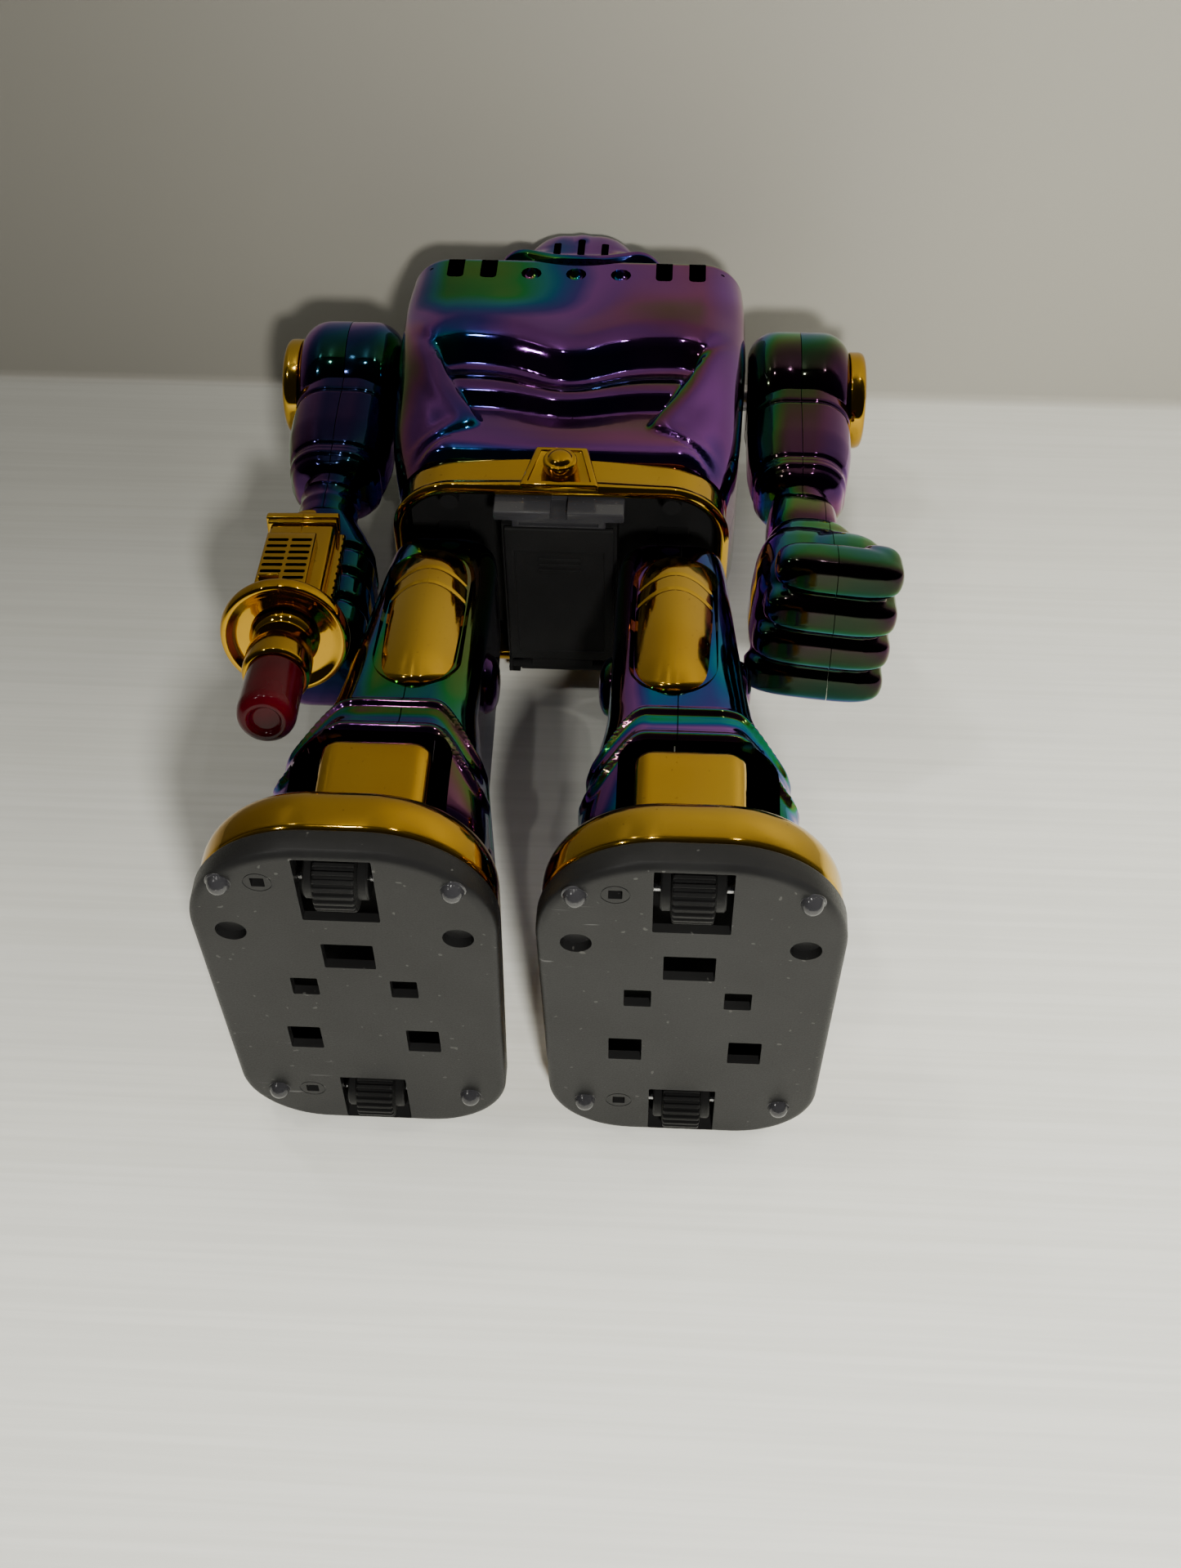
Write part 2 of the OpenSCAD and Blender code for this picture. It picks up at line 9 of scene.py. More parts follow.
import bmesh
import bpy
from mathutils import Matrix, Vector, noise


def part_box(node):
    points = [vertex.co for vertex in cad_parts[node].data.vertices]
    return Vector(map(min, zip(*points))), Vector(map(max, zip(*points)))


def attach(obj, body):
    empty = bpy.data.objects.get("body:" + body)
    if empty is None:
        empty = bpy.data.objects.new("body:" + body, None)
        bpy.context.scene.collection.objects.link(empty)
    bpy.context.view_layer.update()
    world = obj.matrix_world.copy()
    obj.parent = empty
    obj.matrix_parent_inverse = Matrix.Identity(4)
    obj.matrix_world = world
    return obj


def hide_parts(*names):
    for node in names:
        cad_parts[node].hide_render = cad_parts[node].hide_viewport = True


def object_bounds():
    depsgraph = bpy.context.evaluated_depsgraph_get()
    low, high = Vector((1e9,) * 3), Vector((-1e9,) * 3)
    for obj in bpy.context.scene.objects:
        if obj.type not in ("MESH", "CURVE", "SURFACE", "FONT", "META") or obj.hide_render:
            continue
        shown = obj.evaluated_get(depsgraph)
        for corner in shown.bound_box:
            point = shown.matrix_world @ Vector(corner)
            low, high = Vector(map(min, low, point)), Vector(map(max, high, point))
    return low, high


MM = 0.001
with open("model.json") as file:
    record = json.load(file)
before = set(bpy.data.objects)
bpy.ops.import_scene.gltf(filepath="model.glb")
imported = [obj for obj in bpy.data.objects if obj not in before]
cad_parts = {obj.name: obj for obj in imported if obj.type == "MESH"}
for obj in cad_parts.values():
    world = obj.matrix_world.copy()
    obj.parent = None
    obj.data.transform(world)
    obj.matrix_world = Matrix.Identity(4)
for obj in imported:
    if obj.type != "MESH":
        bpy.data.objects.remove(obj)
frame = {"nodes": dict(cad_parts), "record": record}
cad_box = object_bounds()
scene = bpy.context.scene


# ---------------------------------------------------------------- helpers

def node_box(name):
    """Lowest and highest corner of a CAD node, in millimetres."""
    low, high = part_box(name)
    return Vector(low) / MM, Vector(high) / MM


def curve(points):
    """Smooth curve through (place, value) points that never overshoots them."""
    xs = [p[0] for p in points]
    ys = [p[1] for p in points]
    steps = [(ys[i + 1] - ys[i]) / (xs[i + 1] - xs[i]) for i in range(len(xs) - 1)]
    slopes = [steps[0]]
    for a, b in zip(steps, steps[1:]):
        slopes.append(0.0 if a * b <= 0 else 2 * a * b / (a + b))
    slopes.append(steps[-1])

    def at(x):
        if x <= xs[0]:
            return ys[0]
        if x >= xs[-1]:
            return ys[-1]
        i = max(k for k in range(len(xs) - 1) if xs[k] <= x)
        h = xs[i + 1] - xs[i]
        t = (x - xs[i]) / h
        return (
            ys[i] * (1 + 2 * t) * (1 - t) ** 2
            + slopes[i] * h * t * (1 - t) ** 2
            + ys[i + 1] * t * t * (3 - 2 * t)
            + slopes[i + 1] * h * t * t * (t - 1)
        )

    return at


def stations(*rows):
    """Curves through rows of (place, value, value, ...), one curve for each value."""
    made = [curve([(row[0], row[k]) for row in rows]) for k in range(1, len(rows[0]))]
    return lambda place: [c(place) for c in made]


def smoothstep(low, high, x):
    t = min(max((x - low) / (high - low), 0.0), 1.0)
    return t * t * (3 - 2 * t)


def bump(x, width):
    """Rounded bump of height 1 and half width `width`."""
    t = min(abs(x) / width, 1.0)
    return (1 - t * t) ** 2


def spaced(low, high, step):
    """Evenly spaced places from low to high, about `step` apart."""
    n = max(1, round((high - low) / step))
    return [low + (high - low) * i / n for i in range(n + 1)]


def link(name, mesh):
    piece = bpy.data.objects.new(name, mesh)
    scene.collection.objects.link(piece)
    return piece


def finish_mesh(piece, angle=38):
    """Smooth shading, with edges sharper than `angle` kept crisp."""
    mesh = piece.data
    mesh.polygons.foreach_set("use_smooth", [True] * len(mesh.polygons))
    mesh.set_sharp_from_angle(angle=math.radians(angle))
    return piece


def from_points(name, points, faces):
    mesh = bpy.data.meshes.new(name)
    mesh.from_pydata([tuple(c * MM for c in p) for p in points], [], faces)
    mesh.update()
    return link(name, mesh)


def bake(piece):
    """Applies a piece's modifiers."""
    graph = bpy.context.evaluated_depsgraph_get()
    graph.update()
    mesh = bpy.data.meshes.new_from_object(piece.evaluated_get(graph))
    piece.modifiers.clear()
    piece.data = mesh
    return piece


def fix_normals(piece):
    """Makes a closed mesh's faces point outwards."""
    work = bmesh.new()
    work.from_mesh(piece.data)
    bmesh.ops.remove_doubles(work, verts=work.verts, dist=0.00001)
    bmesh.ops.recalc_face_normals(work, faces=work.faces)
    work.to_mesh(piece.data)
    work.free()
    return piece


def discard(piece):
    bpy.data.objects.remove(piece, do_unlink=True)


def boolean(piece, other, operation="DIFFERENCE", inner=False):
    """Cuts, joins or intersects with another closed mesh, which is used up; inner marks the new faces as unplated."""
    if inner:
        for mesh in (piece.data, other.data):
            while len(mesh.materials) < 2:
                mesh.materials.append(None)
        other.data.polygons.foreach_set("material_index", [1] * len(other.data.polygons))
    cut = piece.modifiers.new("boolean", "BOOLEAN")
    cut.operation = operation
    cut.solver = "EXACT"
    cut.object = other
    bake(piece)
    discard(other)
    return piece


def bevel(piece, width, segments=3, angle=40):
    mod = piece.modifiers.new("bevel", "BEVEL")
    mod.width = width * MM
    mod.segments = segments
    mod.limit_method = "ANGLE"
    mod.angle_limit = math.radians(angle)
    mod.harden_normals = False
    return bake(piece)


def join(name, pieces):
    """Joins pieces into one object."""
    work = bmesh.new()
    for piece in pieces:
        part = piece.data.copy()
        part.transform(piece.matrix_world)
        work.from_mesh(part)
        bpy.data.meshes.remove(part)
    mesh = bpy.data.meshes.new(name)
    work.to_mesh(mesh)
    work.free()
    for piece in pieces:
        discard(piece)
    return link(name, mesh)


def mirrored(piece, name):
    """Copy of a piece, mirrored from the robot's left side to its right."""
    mesh = piece.data.copy()
    mesh.transform(Matrix.Diagonal((-1, 1, 1, 1)))
    mesh.flip_normals()
    return link(name, mesh)


def ring_rect(x0, x1, y0, y1, r, counts=(60, 12, 40)):
    """Points and outward directions round a rounded rectangle, from its front left corner."""
    across, corner, deep = counts
    r = min(r, (x1 - x0) / 2 - 0.01, (y1 - y0) / 2 - 0.01)
    made = []

    def side(ax, ay, bx, by, nx, ny, n):
        for i in range(n):
            t = i / n
            made.append((ax + (bx - ax) * t, ay + (by - ay) * t, nx, ny))

    def turn(cx, cy, start):
        for i in range(corner):
            a = math.radians(start + 90 * i / corner)
            made.append((cx + r * math.cos(a), cy + r * math.sin(a), math.cos(a), math.sin(a)))

    side(x0 + r, y0, x1 - r, y0, 0, -1, across)
    turn(x1 - r, y0 + r, -90)
    side(x1, y0 + r, x1, y1 - r, 1, 0, deep)
    turn(x1 - r, y1 - r, 0)
    side(x1 - r, y1, x0 + r, y1, 0, 1, across)
    turn(x0 + r, y1 - r, 90)
    side(x0, y1 - r, x0, y0 + r, -1, 0, deep)
    turn(x0 + r, y0 + r, 180)
    return made


def skin(name, rings, close_first=True, close_last=True):
    """Closed loft through rings of points with the same count."""
    count = len(rings[0])
    points = [p for ring in rings for p in ring]
    faces = []
    for j in range(len(rings) - 1):
        for i in range(count):
            k = (i + 1) % count
            faces.append((j * count + i, j * count + k, (j + 1) * count + k, (j + 1) * count + i))
    if close_first:
        faces.append(tuple(reversed(range(count))))
    if close_last:
        last = (len(rings) - 1) * count
        faces.append(tuple(last + i for i in range(count)))
    return from_points(name, points, faces)


def lathe(name, profile, steps=96, ripple=None):
    """Turned solid round Z from (radius, height) points; ripple(angle, i) adds to the radius."""
    rings = []
    for i, (r, z) in enumerate(profile):
        ring = []
        for s in range(steps):
            a = 2 * math.pi * s / steps
            q = r + (ripple(a, i) if ripple else 0)
            ring.append((q * math.cos(a), q * math.sin(a), z))
        rings.append(ring)
    return fix_normals(skin(name, rings))


def rounded_profile(points, radius=0.5, steps=3):
    """Profile with its inner corners rounded by up to `radius`."""
    made = [points[0]]
    for before, here, after in zip(points, points[1:], points[2:]):
        a, b, c = Vector(before), Vector(here), Vector(after)
        reach = min(radius, (a - b).length * 0.45, (c - b).length * 0.45)
        if reach < 0.02:
            made.append(here)
            continue
        p = b + (a - b).normalized() * reach
        q = b + (c - b).normalized() * reach
        for i in range(steps + 1):
            t = i / steps
            made.append(tuple(p * (1 - t) ** 2 + b * 2 * t * (1 - t) + q * t * t))
    made.append(points[-1])
    return made


def box_piece(name, x0, x1, y0, y1, z0, z1, round_by=0.6, segments=3):
    """Box with rounded edges."""
    points = [(x, y, z) for z in (z0, z1) for y in (y0, y1) for x in (x0, x1)]
    faces = [(0, 2, 3, 1), (4, 5, 7, 6), (0, 1, 5, 4), (2, 6, 7, 3), (0, 4, 6, 2), (1, 3, 7, 5)]
    piece = from_points(name, points, faces)
    if round_by:
        bevel(piece, round_by, segments, 30)
    return piece


def prism(name, outline, low, high, axis="Z"):
    """Extruded outline of (a, b) points along an axis; with Y the outline is in X and Z, with X in Y and Z."""
    place = {
        "Z": lambda a, b, c: (a, b, c),
        "Y": lambda a, b, c: (a, c, b),
        "X": lambda a, b, c: (c, a, b),
    }[axis]
    rings = [[place(a, b, c) for a, b in outline] for c in (low, high)]
    return fix_normals(skin(name, rings))


def arc(cx, cy, r, start, end, n=12):
    made = []
    for i in range(n + 1):
        a = math.radians(start + (end - start) * i / n)
        made.append((cx + r * math.cos(a), cy + r * math.sin(a)))
    return made


def rod(name, x0, x1, y, z, r, steps=48):
    """Plain closed cylinder along X, used as a cutter."""
    outline = [(y + r * math.cos(2 * math.pi * i / steps), z + r * math.sin(2 * math.pi * i / steps)) for i in range(steps)]
    return prism(name, outline, x0, x1, "X")


def halve(piece, axis, place, keep_high, gap=0.12):
    """Keeps one side of a closed mesh, leaving half a seam's gap, and closes the cut."""
    work = bmesh.new()
    work.from_mesh(piece.data)
    normal = [0, 0, 0]
    normal["XYZ".index(axis)] = 1
    point = [0, 0, 0]
    point["XYZ".index(axis)] = (place + (gap if keep_high else -gap)) * MM
    result = bmesh.ops.bisect_plane(
        work,
        geom=work.verts[:] + work.edges[:] + work.faces[:],
        plane_co=point,
        plane_no=normal,
        clear_inner=keep_high,
        clear_outer=not keep_high,
    )
    edges = [e for e in result["geom_cut"] if isinstance(e, bmesh.types.BMEdge)]
    bmesh.ops.holes_fill(work, edges=edges, sides=0)
    bmesh.ops.recalc_face_normals(work, faces=work.faces)
    work.to_mesh(piece.data)
    work.free()
    return piece


def copy_of(piece, name):
    return link(name, piece.data.copy())


def turned_to_x(piece, x, y, z, mirror=False):
    """Moves a lathe piece so that its axis runs along X from (x, y, z)."""
    turn = Matrix.Rotation(math.radians(-90 if mirror else 90), 4, "Y")
    piece.data.transform(Matrix.Translation(Vector((x, y, z)) * MM) @ turn)
    return piece


def turned_to_front(piece, x, y, z):
    """Moves a lathe piece so that its axis runs forward, along -Y, from (x, y, z)."""
    turn = Matrix.Rotation(math.radians(90), 4, "X")
    piece.data.transform(Matrix.Translation(Vector((x, y, z)) * MM) @ turn)
    return piece


# ---------------------------------------------------------------- materials

class Nodes:
    """Short calls for building a material's node tree."""

    def __init__(self, name):
        self.material = bpy.data.materials.new(name)
        self.material.use_nodes = True
        self.tree = self.material.node_tree
        self.shader = self.tree.nodes["Principled BSDF"]
        self.place = self.add("ShaderNodeTexCoord").outputs["Object"]

    def add(self, kind, **settings):
        made = self.tree.nodes.new(kind)
        for key, value in settings.items():
            setattr(made, key, value)
        return made

    def join(self, out, into):
        self.tree.links.new(out, into)

    def noise(self, scale, detail=3.0, rough=0.5, stretch=None, distortion=0.0):
        made = self.add("ShaderNodeTexNoise")
        made.inputs["Scale"].default_value = scale
        made.inputs["Detail"].default_value = detail
        made.inputs["Roughness"].default_value = rough
        made.inputs["Distortion"].default_value = distortion
        source = self.place
        if stretch:
            mapping = self.add("ShaderNodeMapping")
            mapping.inputs["Scale"].default_value = stretch
            self.join(source, mapping.inputs["Vector"])
            source = mapping.outputs["Vector"]
        self.join(source, made.inputs["Vector"])
        return made.outputs["Fac"]

    def math(self, operation, a, b=0.0, clamp=False):
        made = self.add("ShaderNodeMath", operation=operation, use_clamp=clamp)
        for value, socket in ((a, made.inputs[0]), (b, made.inputs[1])):
            if isinstance(value, (int, float)):
                socket.default_value = value
            else:
                self.join(value, socket)
        return made.outputs[0]

    def spread(self, value, low, high, out_low=0.0, out_high=1.0):
        made = self.add("ShaderNodeMapRange", interpolation_type="SMOOTHSTEP")
        self.join(value, made.inputs["Value"])
        for key, number in (("From Min", low), ("From Max", high), ("To Min", out_low), ("To Max", out_high)):
            made.inputs[key].default_value = number
        return made.outputs["Result"]

    def ramp(self, value, stops, interpolation="EASE"):
        made = self.add("ShaderNodeValToRGB")
        made.color_ramp.interpolation = interpolation
        elements = made.color_ramp.elements
        while len(elements) < len(stops):
            elements.new(0.5)
        for element, (position, colour) in zip(elements, stops):
            element.position = position
            element.color = (*colour, 1)
        self.join(value, made.inputs["Fac"])
        return made.outputs["Color"]

    def mix(self, factor, a, b, blend="MIX"):
        made = self.add("ShaderNodeMix", data_type="RGBA", blend_type=blend)
        for value, socket in ((factor, made.inputs[0]), (a, made.inputs[6]), (b, made.inputs[7])):
            if isinstance(value, (int, float)):
                socket.default_value = value
            elif isinstance(value, tuple):
                socket.default_value = (*value, 1)
            else:
                self.join(value, socket)
        return made.outputs[2]

    def bumps(self, *layers):
        """Bump layers of (height, strength, distance in mm), one on top of the other."""
        normal = None
        for height, strength, distance in layers:
            made = self.add("ShaderNodeBump")
            made.inputs["Strength"].default_value = strength
            made.inputs["Distance"].default_value = distance * MM
            self.join(height, made.inputs["Height"])
            if normal:
                self.join(normal, made.inputs["Normal"])
            normal = made.outputs["Normal"]
        self.join(normal, self.shader.inputs["Normal"])

    def set(self, **sockets):
        for key, value in sockets.items():
            socket = self.shader.inputs[key.replace("_", " ")]
            if isinstance(value, (int, float)):
                socket.default_value = value
            elif isinstance(value, tuple):
                socket.default_value = (*value, 1)
            else:
                self.join(value, socket)
        return self.material


def make_rainbow(name, shift=0.0, spin=1.0, deep=0.0, corner=False):
    """Iridescent vacuum plating in bands of hue. The bands partly follow how far a face turns towards a fixed direction
    near the main camera's line of sight, a painted view-angle sheen, and deep darkens the faces turned that way, a
    painted dark reflection; corner adds a green shoulder.
    """
    n = Nodes(name)
    # Painted view-angle sheen: the hue phase adds how far each face turns towards (0.12, -0.70, -0.70), a fixed
    # direction close to the main camera's line of sight, and how far it turns to one side, so the film's angle colours
    # are painted as seen from that one view. The film noise and the change along X are the plating's own colour.
    normal = n.add("ShaderNodeTexCoord").outputs["Normal"]
    facing_main_view = n.add("ShaderNodeVectorMath", operation="DOT_PRODUCT")
    n.join(normal, facing_main_view.inputs[0])
    facing_main_view.inputs[1].default_value = (0.12, -0.70, -0.70)
    sideways = n.add("ShaderNodeVectorMath", operation="DOT_PRODUCT")
    n.join(normal, sideways.inputs[0])
    sideways.inputs[1].default_value = (0.85, 0.25, 0.30)
    film = n.noise(14.0, 2.0, 0.45, distortion=0.6)
    fine = n.noise(60.0, 2.0, 0.5)
    along = n.add("ShaderNodeSeparateXYZ")
    n.join(n.place, along.inputs[0])
    phase = n.math("MULTIPLY", facing_main_view.outputs["Value"], 0.9 * spin)
    phase = n.math("ADD", phase, n.math("MULTIPLY", along.outputs["X"], -4.5))
    phase = n.math("ADD", phase, n.math("MULTIPLY", sideways.outputs["Value"], 0.42))
    phase = n.math("ADD", phase, n.math("MULTIPLY", film, 0.75))
    phase = n.math("ADD", phase, n.math("MULTIPLY", fine, 0.06))
    if corner:
        patch = n.math("MULTIPLY", n.spread(along.outputs["Z"], 0.218, 0.236), n.spread(along.outputs["X"], -0.024, 0.020, 1.0, 0.0))
        phase = n.math("ADD", phase, n.math("MULTIPLY", patch, 0.46))
    phase = n.math("FRACT", n.math("ADD", phase, 2.0 + shift))
    colour = n.ramp(
        phase,
        [
            (0.00, (0.30, 0.09, 0.46)),
            (0.14, (0.36, 0.11, 0.52)),
            (0.26, (0.08, 0.06, 0.40)),
            (0.36, (0.015, 0.12, 0.42)),
            (0.46, (0.01, 0.30, 0.36)),
            (0.57, (0.015, 0.36, 0.07)),
            (0.66, (0.16, 0.30, 0.04)),
            (0.75, (0.26, 0.15, 0.10)),
            (0.86, (0.40, 0.11, 0.30)),
            (1.00, (0.30, 0.09, 0.46)),
        ],
        "LINEAR",
    )
    # Painted dark reflection: faces turned towards that fixed direction are pulled towards near-black by up to deep,
    # patchy with the film noise, in place of the dark room they would mirror.
    painted_reflection_mask = n.spread(n.math("ABSOLUTE", facing_main_view.outputs["Value"]), 0.25, 0.85, 1.0, 1.0 - deep)
    patch = n.spread(film, 0.40, 0.62, 0.55, 1.0)
    colour = n.mix(n.math("MULTIPLY", painted_reflection_mask, patch), (0.012, 0.008, 0.020), colour)
    haze = n.noise(220.0, 3.0, 0.6)
    n.bumps((n.noise(55.0, 1.0, 0.4), 0.10, 0.6), (haze, 0.05, 0.08))
    return n.set(Base_Color=colour, Metallic=1.0, Roughness=n.spread(haze, 0.35, 0.75, 0.05, 0.12))


def make_gold(name):
    """Gold vacuum plating over moulded plastic, with soft waves, handling haze and tiny pits."""
    n = Nodes(name)
    haze = n.noise(90.0, 4.0, 0.6)
    pits = n.noise(900.0, 1.0, 0.5)
    warm = n.noise(18.0, 2.0, 0.5)
    colour = n.mix(n.spread(warm, 0.35, 0.7), (0.56, 0.31, 0.022), (0.66, 0.41, 0.045))
    colour = n.mix(n.spread(pits, 0.72, 0.80, 0.0, 0.5), colour, (0.25, 0.12, 0.02))
    n.bumps((n.noise(45.0, 1.0, 0.4), 0.14, 0.8), (pits, 0.10, 0.05))
    return n.set(Base_Color=colour, Metallic=1.0, Roughness=n.spread(haze, 0.35, 0.75, 0.06, 0.16))


def make_black(name, base=0.030, rough=0.50, scuffs=False):
    """Black moulded plastic with a fine spark-eroded grain; scuffs adds pale scratches and rubbed dust."""
    n = Nodes(name)
    grain = n.noise(2600.0, 2.0, 0.6)
    cloud = n.noise(35.0, 4.0, 0.6)
    colour = n.mix(n.spread(cloud, 0.3, 0.75), (base,) * 3, (base * 1.5, base * 1.52, base * 1.5))
    if scuffs:
        scratch = n.noise(70.0, 1.0, 0.4, stretch=(1.0, 14.0, 1.0), distortion=0.4)
        patch = n.noise(16.0, 2.0, 0.5)
        mask = n.math("MULTIPLY", n.spread(scratch, 0.70, 0.76), n.spread(patch, 0.58, 0.70))
        colour = n.mix(mask, colour, (0.09, 0.09, 0.088))
        specks = n.noise(700.0, 0.0, 0.5)
        colour = n.mix(n.spread(specks, 0.82, 0.86, 0.0, 0.35), colour, (0.12, 0.12, 0.11))
    n.bumps((grain, 0.35, 0.06), (cloud, 0.10, 0.3))
    return n.set(
        Base_Color=colour,
        Roughness=n.spread(grain, 0.3, 0.7, rough - 0.06, rough + 0.08),
        Specular_IOR_Level=0.25,
    )


def make_gloss_black(name):
    """Shiny black styrene with light moulding waves and a little dust."""
    n = Nodes(name)
    wave = n.noise(60.0, 2.0, 0.5)
    dust = n.noise(1500.0, 1.0, 0.5)
    colour = n.mix(n.spread(dust, 0.72, 0.80, 0.0, 0.25), (0.022, 0.022, 0.024), (0.2, 0.2, 0.19))
    n.bumps((wave, 0.12, 0.4))
    return n.set(Base_Color=colour, Roughness=n.spread(wave, 0.3, 0.7, 0.16, 0.28), Coat_Weight=0.3)


def make_red(name):
    """Dark red tinted plastic with a swirled tone."""
    n = Nodes(name)
    swirl = n.noise(40.0, 3.0, 0.5, distortion=1.0)
    colour = n.mix(n.spread(swirl, 0.3, 0.7), (0.022, 0.0003, 0.0014), (0.045, 0.0005, 0.003))
    n.bumps((n.noise(300.0, 2.0, 0.5), 0.12, 0.05))
    return n.set(Base_Color=colour, Roughness=n.spread(swirl, 0.3, 0.7, 0.10, 0.18), Specular_IOR_Level=0.22)


def make_steel(name):
    """Turned steel with fine rings along X."""
    n = Nodes(name)
    rings = n.noise(900.0, 2.0, 0.6, stretch=(6.0, 0.4, 0.4))
    colour = n.mix(n.spread(rings, 0.3, 0.7), (0.50, 0.50, 0.52), (0.66, 0.66, 0.67))
    n.bumps((rings, 0.2, 0.03))
    return n.set(Base_Color=colour, Metallic=1.0, Roughness=n.spread(rings, 0.3, 0.7, 0.24, 0.38))


def make_plain(name, colour_a, colour_b, rough, metal=0.0):
    """Plain moulded finish for hidden parts: two tones and a light grain."""
    n = Nodes(name)
    cloud = n.noise(50.0, 3.0, 0.5)
    grain = n.noise(1800.0, 2.0, 0.5)
    n.bumps((grain, 0.2, 0.05))
    return n.set(
        Base_Color=n.mix(n.spread(cloud, 0.3, 0.7), colour_a, colour_b),
        Metallic=metal,
        Roughness=n.spread(grain, 0.3, 0.7, rough - 0.05, rough + 0.05),
    )


# The fourth value is deep, how strongly the painted dark reflection darkens the faces turned towards the main camera's
# side; the limbs get the most.
RAINBOW = make_rainbow("rainbow_plating", 0.02, 1.1, 0.4, corner=True)
RAINBOW_LEG = make_rainbow("rainbow_plating_legs", 0.30, 1.6, 0.25)
RAINBOW_LIMB = make_rainbow("rainbow_plating_limbs", 0.16, 0.8, 0.85)
GOLD = make_gold("gold_plating")
BLACK = make_black("black_plastic", 0.006)
SOLE_BLACK = make_black("black_plastic_sole", 0.0085, 0.40, scuffs=True)
INSIDE = make_black("unplated_inside", 0.004, 0.6)
GLOSS_BLACK = make_gloss_black("black_gloss")
RED = make_red("red_clear")
STEEL = make_steel("steel")
GREY = make_plain("grey_plastic", (0.45, 0.45, 0.46), (0.52, 0.52, 0.53), 0.45)
WRAP = make_plain("cell_wrap", (0.36, 0.20, 0.05), (0.42, 0.25, 0.07), 0.3)
SLOT_MATERIAL = {
    "rainbow_plating": RAINBOW,
    "gold_plating": GOLD,
    "black_plastic": BLACK,
    "black_gloss": GLOSS_BLACK,
    "red_clear": RED,
    "steel": STEEL,
    "grey_plastic": GREY,
    "cell_wrap": WRAP,
}


def dress_cad():
    """Gives every CAD node its procedural material."""
    for entry in frame["record"]["subparts"]:
        mesh = frame["nodes"][entry["node"]].data
        mesh.materials.clear()
        mesh.materials.append(SLOT_MATERIAL[entry["material_slot"]])


def place(piece, body, material, slot, *nodes):
    """Dresses a finished piece, puts it on a body and lets it stand for CAD nodes."""
    has_inside = any(face.material_index == 1 for face in piece.data.polygons)
    piece.data.materials.clear()
    piece.data.materials.append(material)
    if has_inside:
        piece.data.materials.append(INSIDE)
    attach(piece, body)
    if nodes:
        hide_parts(*nodes)
    return piece


# ---------------------------------------------------------------- chest

SEAM_Y = 14
SHOULDER = Vector((68.2, 8, 230))
chest_low, chest_high = node_box("chest_shell")
BELT_TOP = chest_low.z
CHEST_TOP = chest_high.z
CHEST_HALF = chest_high.x


def chest_sections():
    """Size of the chest at each height: half width, front, back and corner radius."""
    return stations(
        (BELT_TOP, CHEST_HALF - 5, -17.5, 50, 17),
        (188, CHEST_HALF - 1.6, -21.5, 51.8, 15),
        (208, CHEST_HALF - 0.5, -23.6, 51.8, 14),
        (222, CHEST_HALF, -24.6, 51.8, 14),
        (240, CHEST_HALF - 0.1, -24.0, 51.8, 13),
        (CHEST_TOP, CHEST_HALF - 1.0, -23.0, 51, 13),
    )


# Forward reach of the folded middle of the chest at each height: three rolls with a slope above each
CHEST_FOLDS = curve([
    (BELT_TOP, 17.6), (171.5, 19.8), (174, 20.4), (180, 19.7), (188, 18.2), (190.6, 17.9), (192.4, 19.6),
    (195, 21.6), (197.5, 21.7), (201, 20.4), (206.5, 18.2), (208.6, 18.4), (211.5, 22.0), (216, 24.8),
    (221, 25.6), (225, 25.3), (234, 24.3), (243, 23.7), (250, 23.3), (CHEST_TOP, 22.8),
])
# Half width of the folded middle at each height: it narrows to a waist above the hem
CHEST_MIDDLE = curve([(BELT_TOP, 41), (174, 37), (183.5, 24.5), (186, 25.5), (198, 33), (208, 37), (220, 45), (252, 60)])
CHEST_DIP = curve([(BELT_TOP, 0), (178, 1.0), (192, 4.0), (210, 7.5), (224, 9.0), (236, 3.0), (246, 0)])


def chest_front(x, z, plain):
    """Forward reach of the chest at a point of its front."""
    dip = CHEST_DIP(z) * (math.exp(-(x / 13.5) ** 2) - 0.25 + 0.55 * smoothstep(30, 46, abs(x)))
    folded = CHEST_FOLDS(z + dip)
    edge = CHEST_MIDDLE(z)
    inside = 1 - smoothstep(edge - 1.6, edge + 1.2, abs(x))
    column = plain + 1.0 * bump(abs(x) - edge - 5, 6) * smoothstep(BELT_TOP, 178, z) * (1 - smoothstep(212, 224, z))
    return folded * inside + column * (1 - inside)


def chest_hollow():
    """Inside of the chest, open at the waist, with room for the neck's flange and the shoulder axles."""
    rings = []
    for z, half, back in (
        (BELT_TOP - 4, 43.8, 47.4),
        (BELT_TOP + 4, 44.2, 48.2),
        (188, 47.2, 49.2),
        (CHEST_TOP - 8, 48.4, 49.2),
        (CHEST_TOP - 5.5, 46.0, 47.5),
    ):
        rings.append([(x, y, z) for x, y, _, _ in ring_rect(-half, half, -14.9, back, 13, (16, 8, 12))])
    return fix_normals(skin("hollow", rings))


def upright(name, x, y, r, low, high):
    """Plain upright cylinder, used as a cutter."""
    return prism(name, arc(x, y, r, 0, 360, 64)[:-1], low, high)


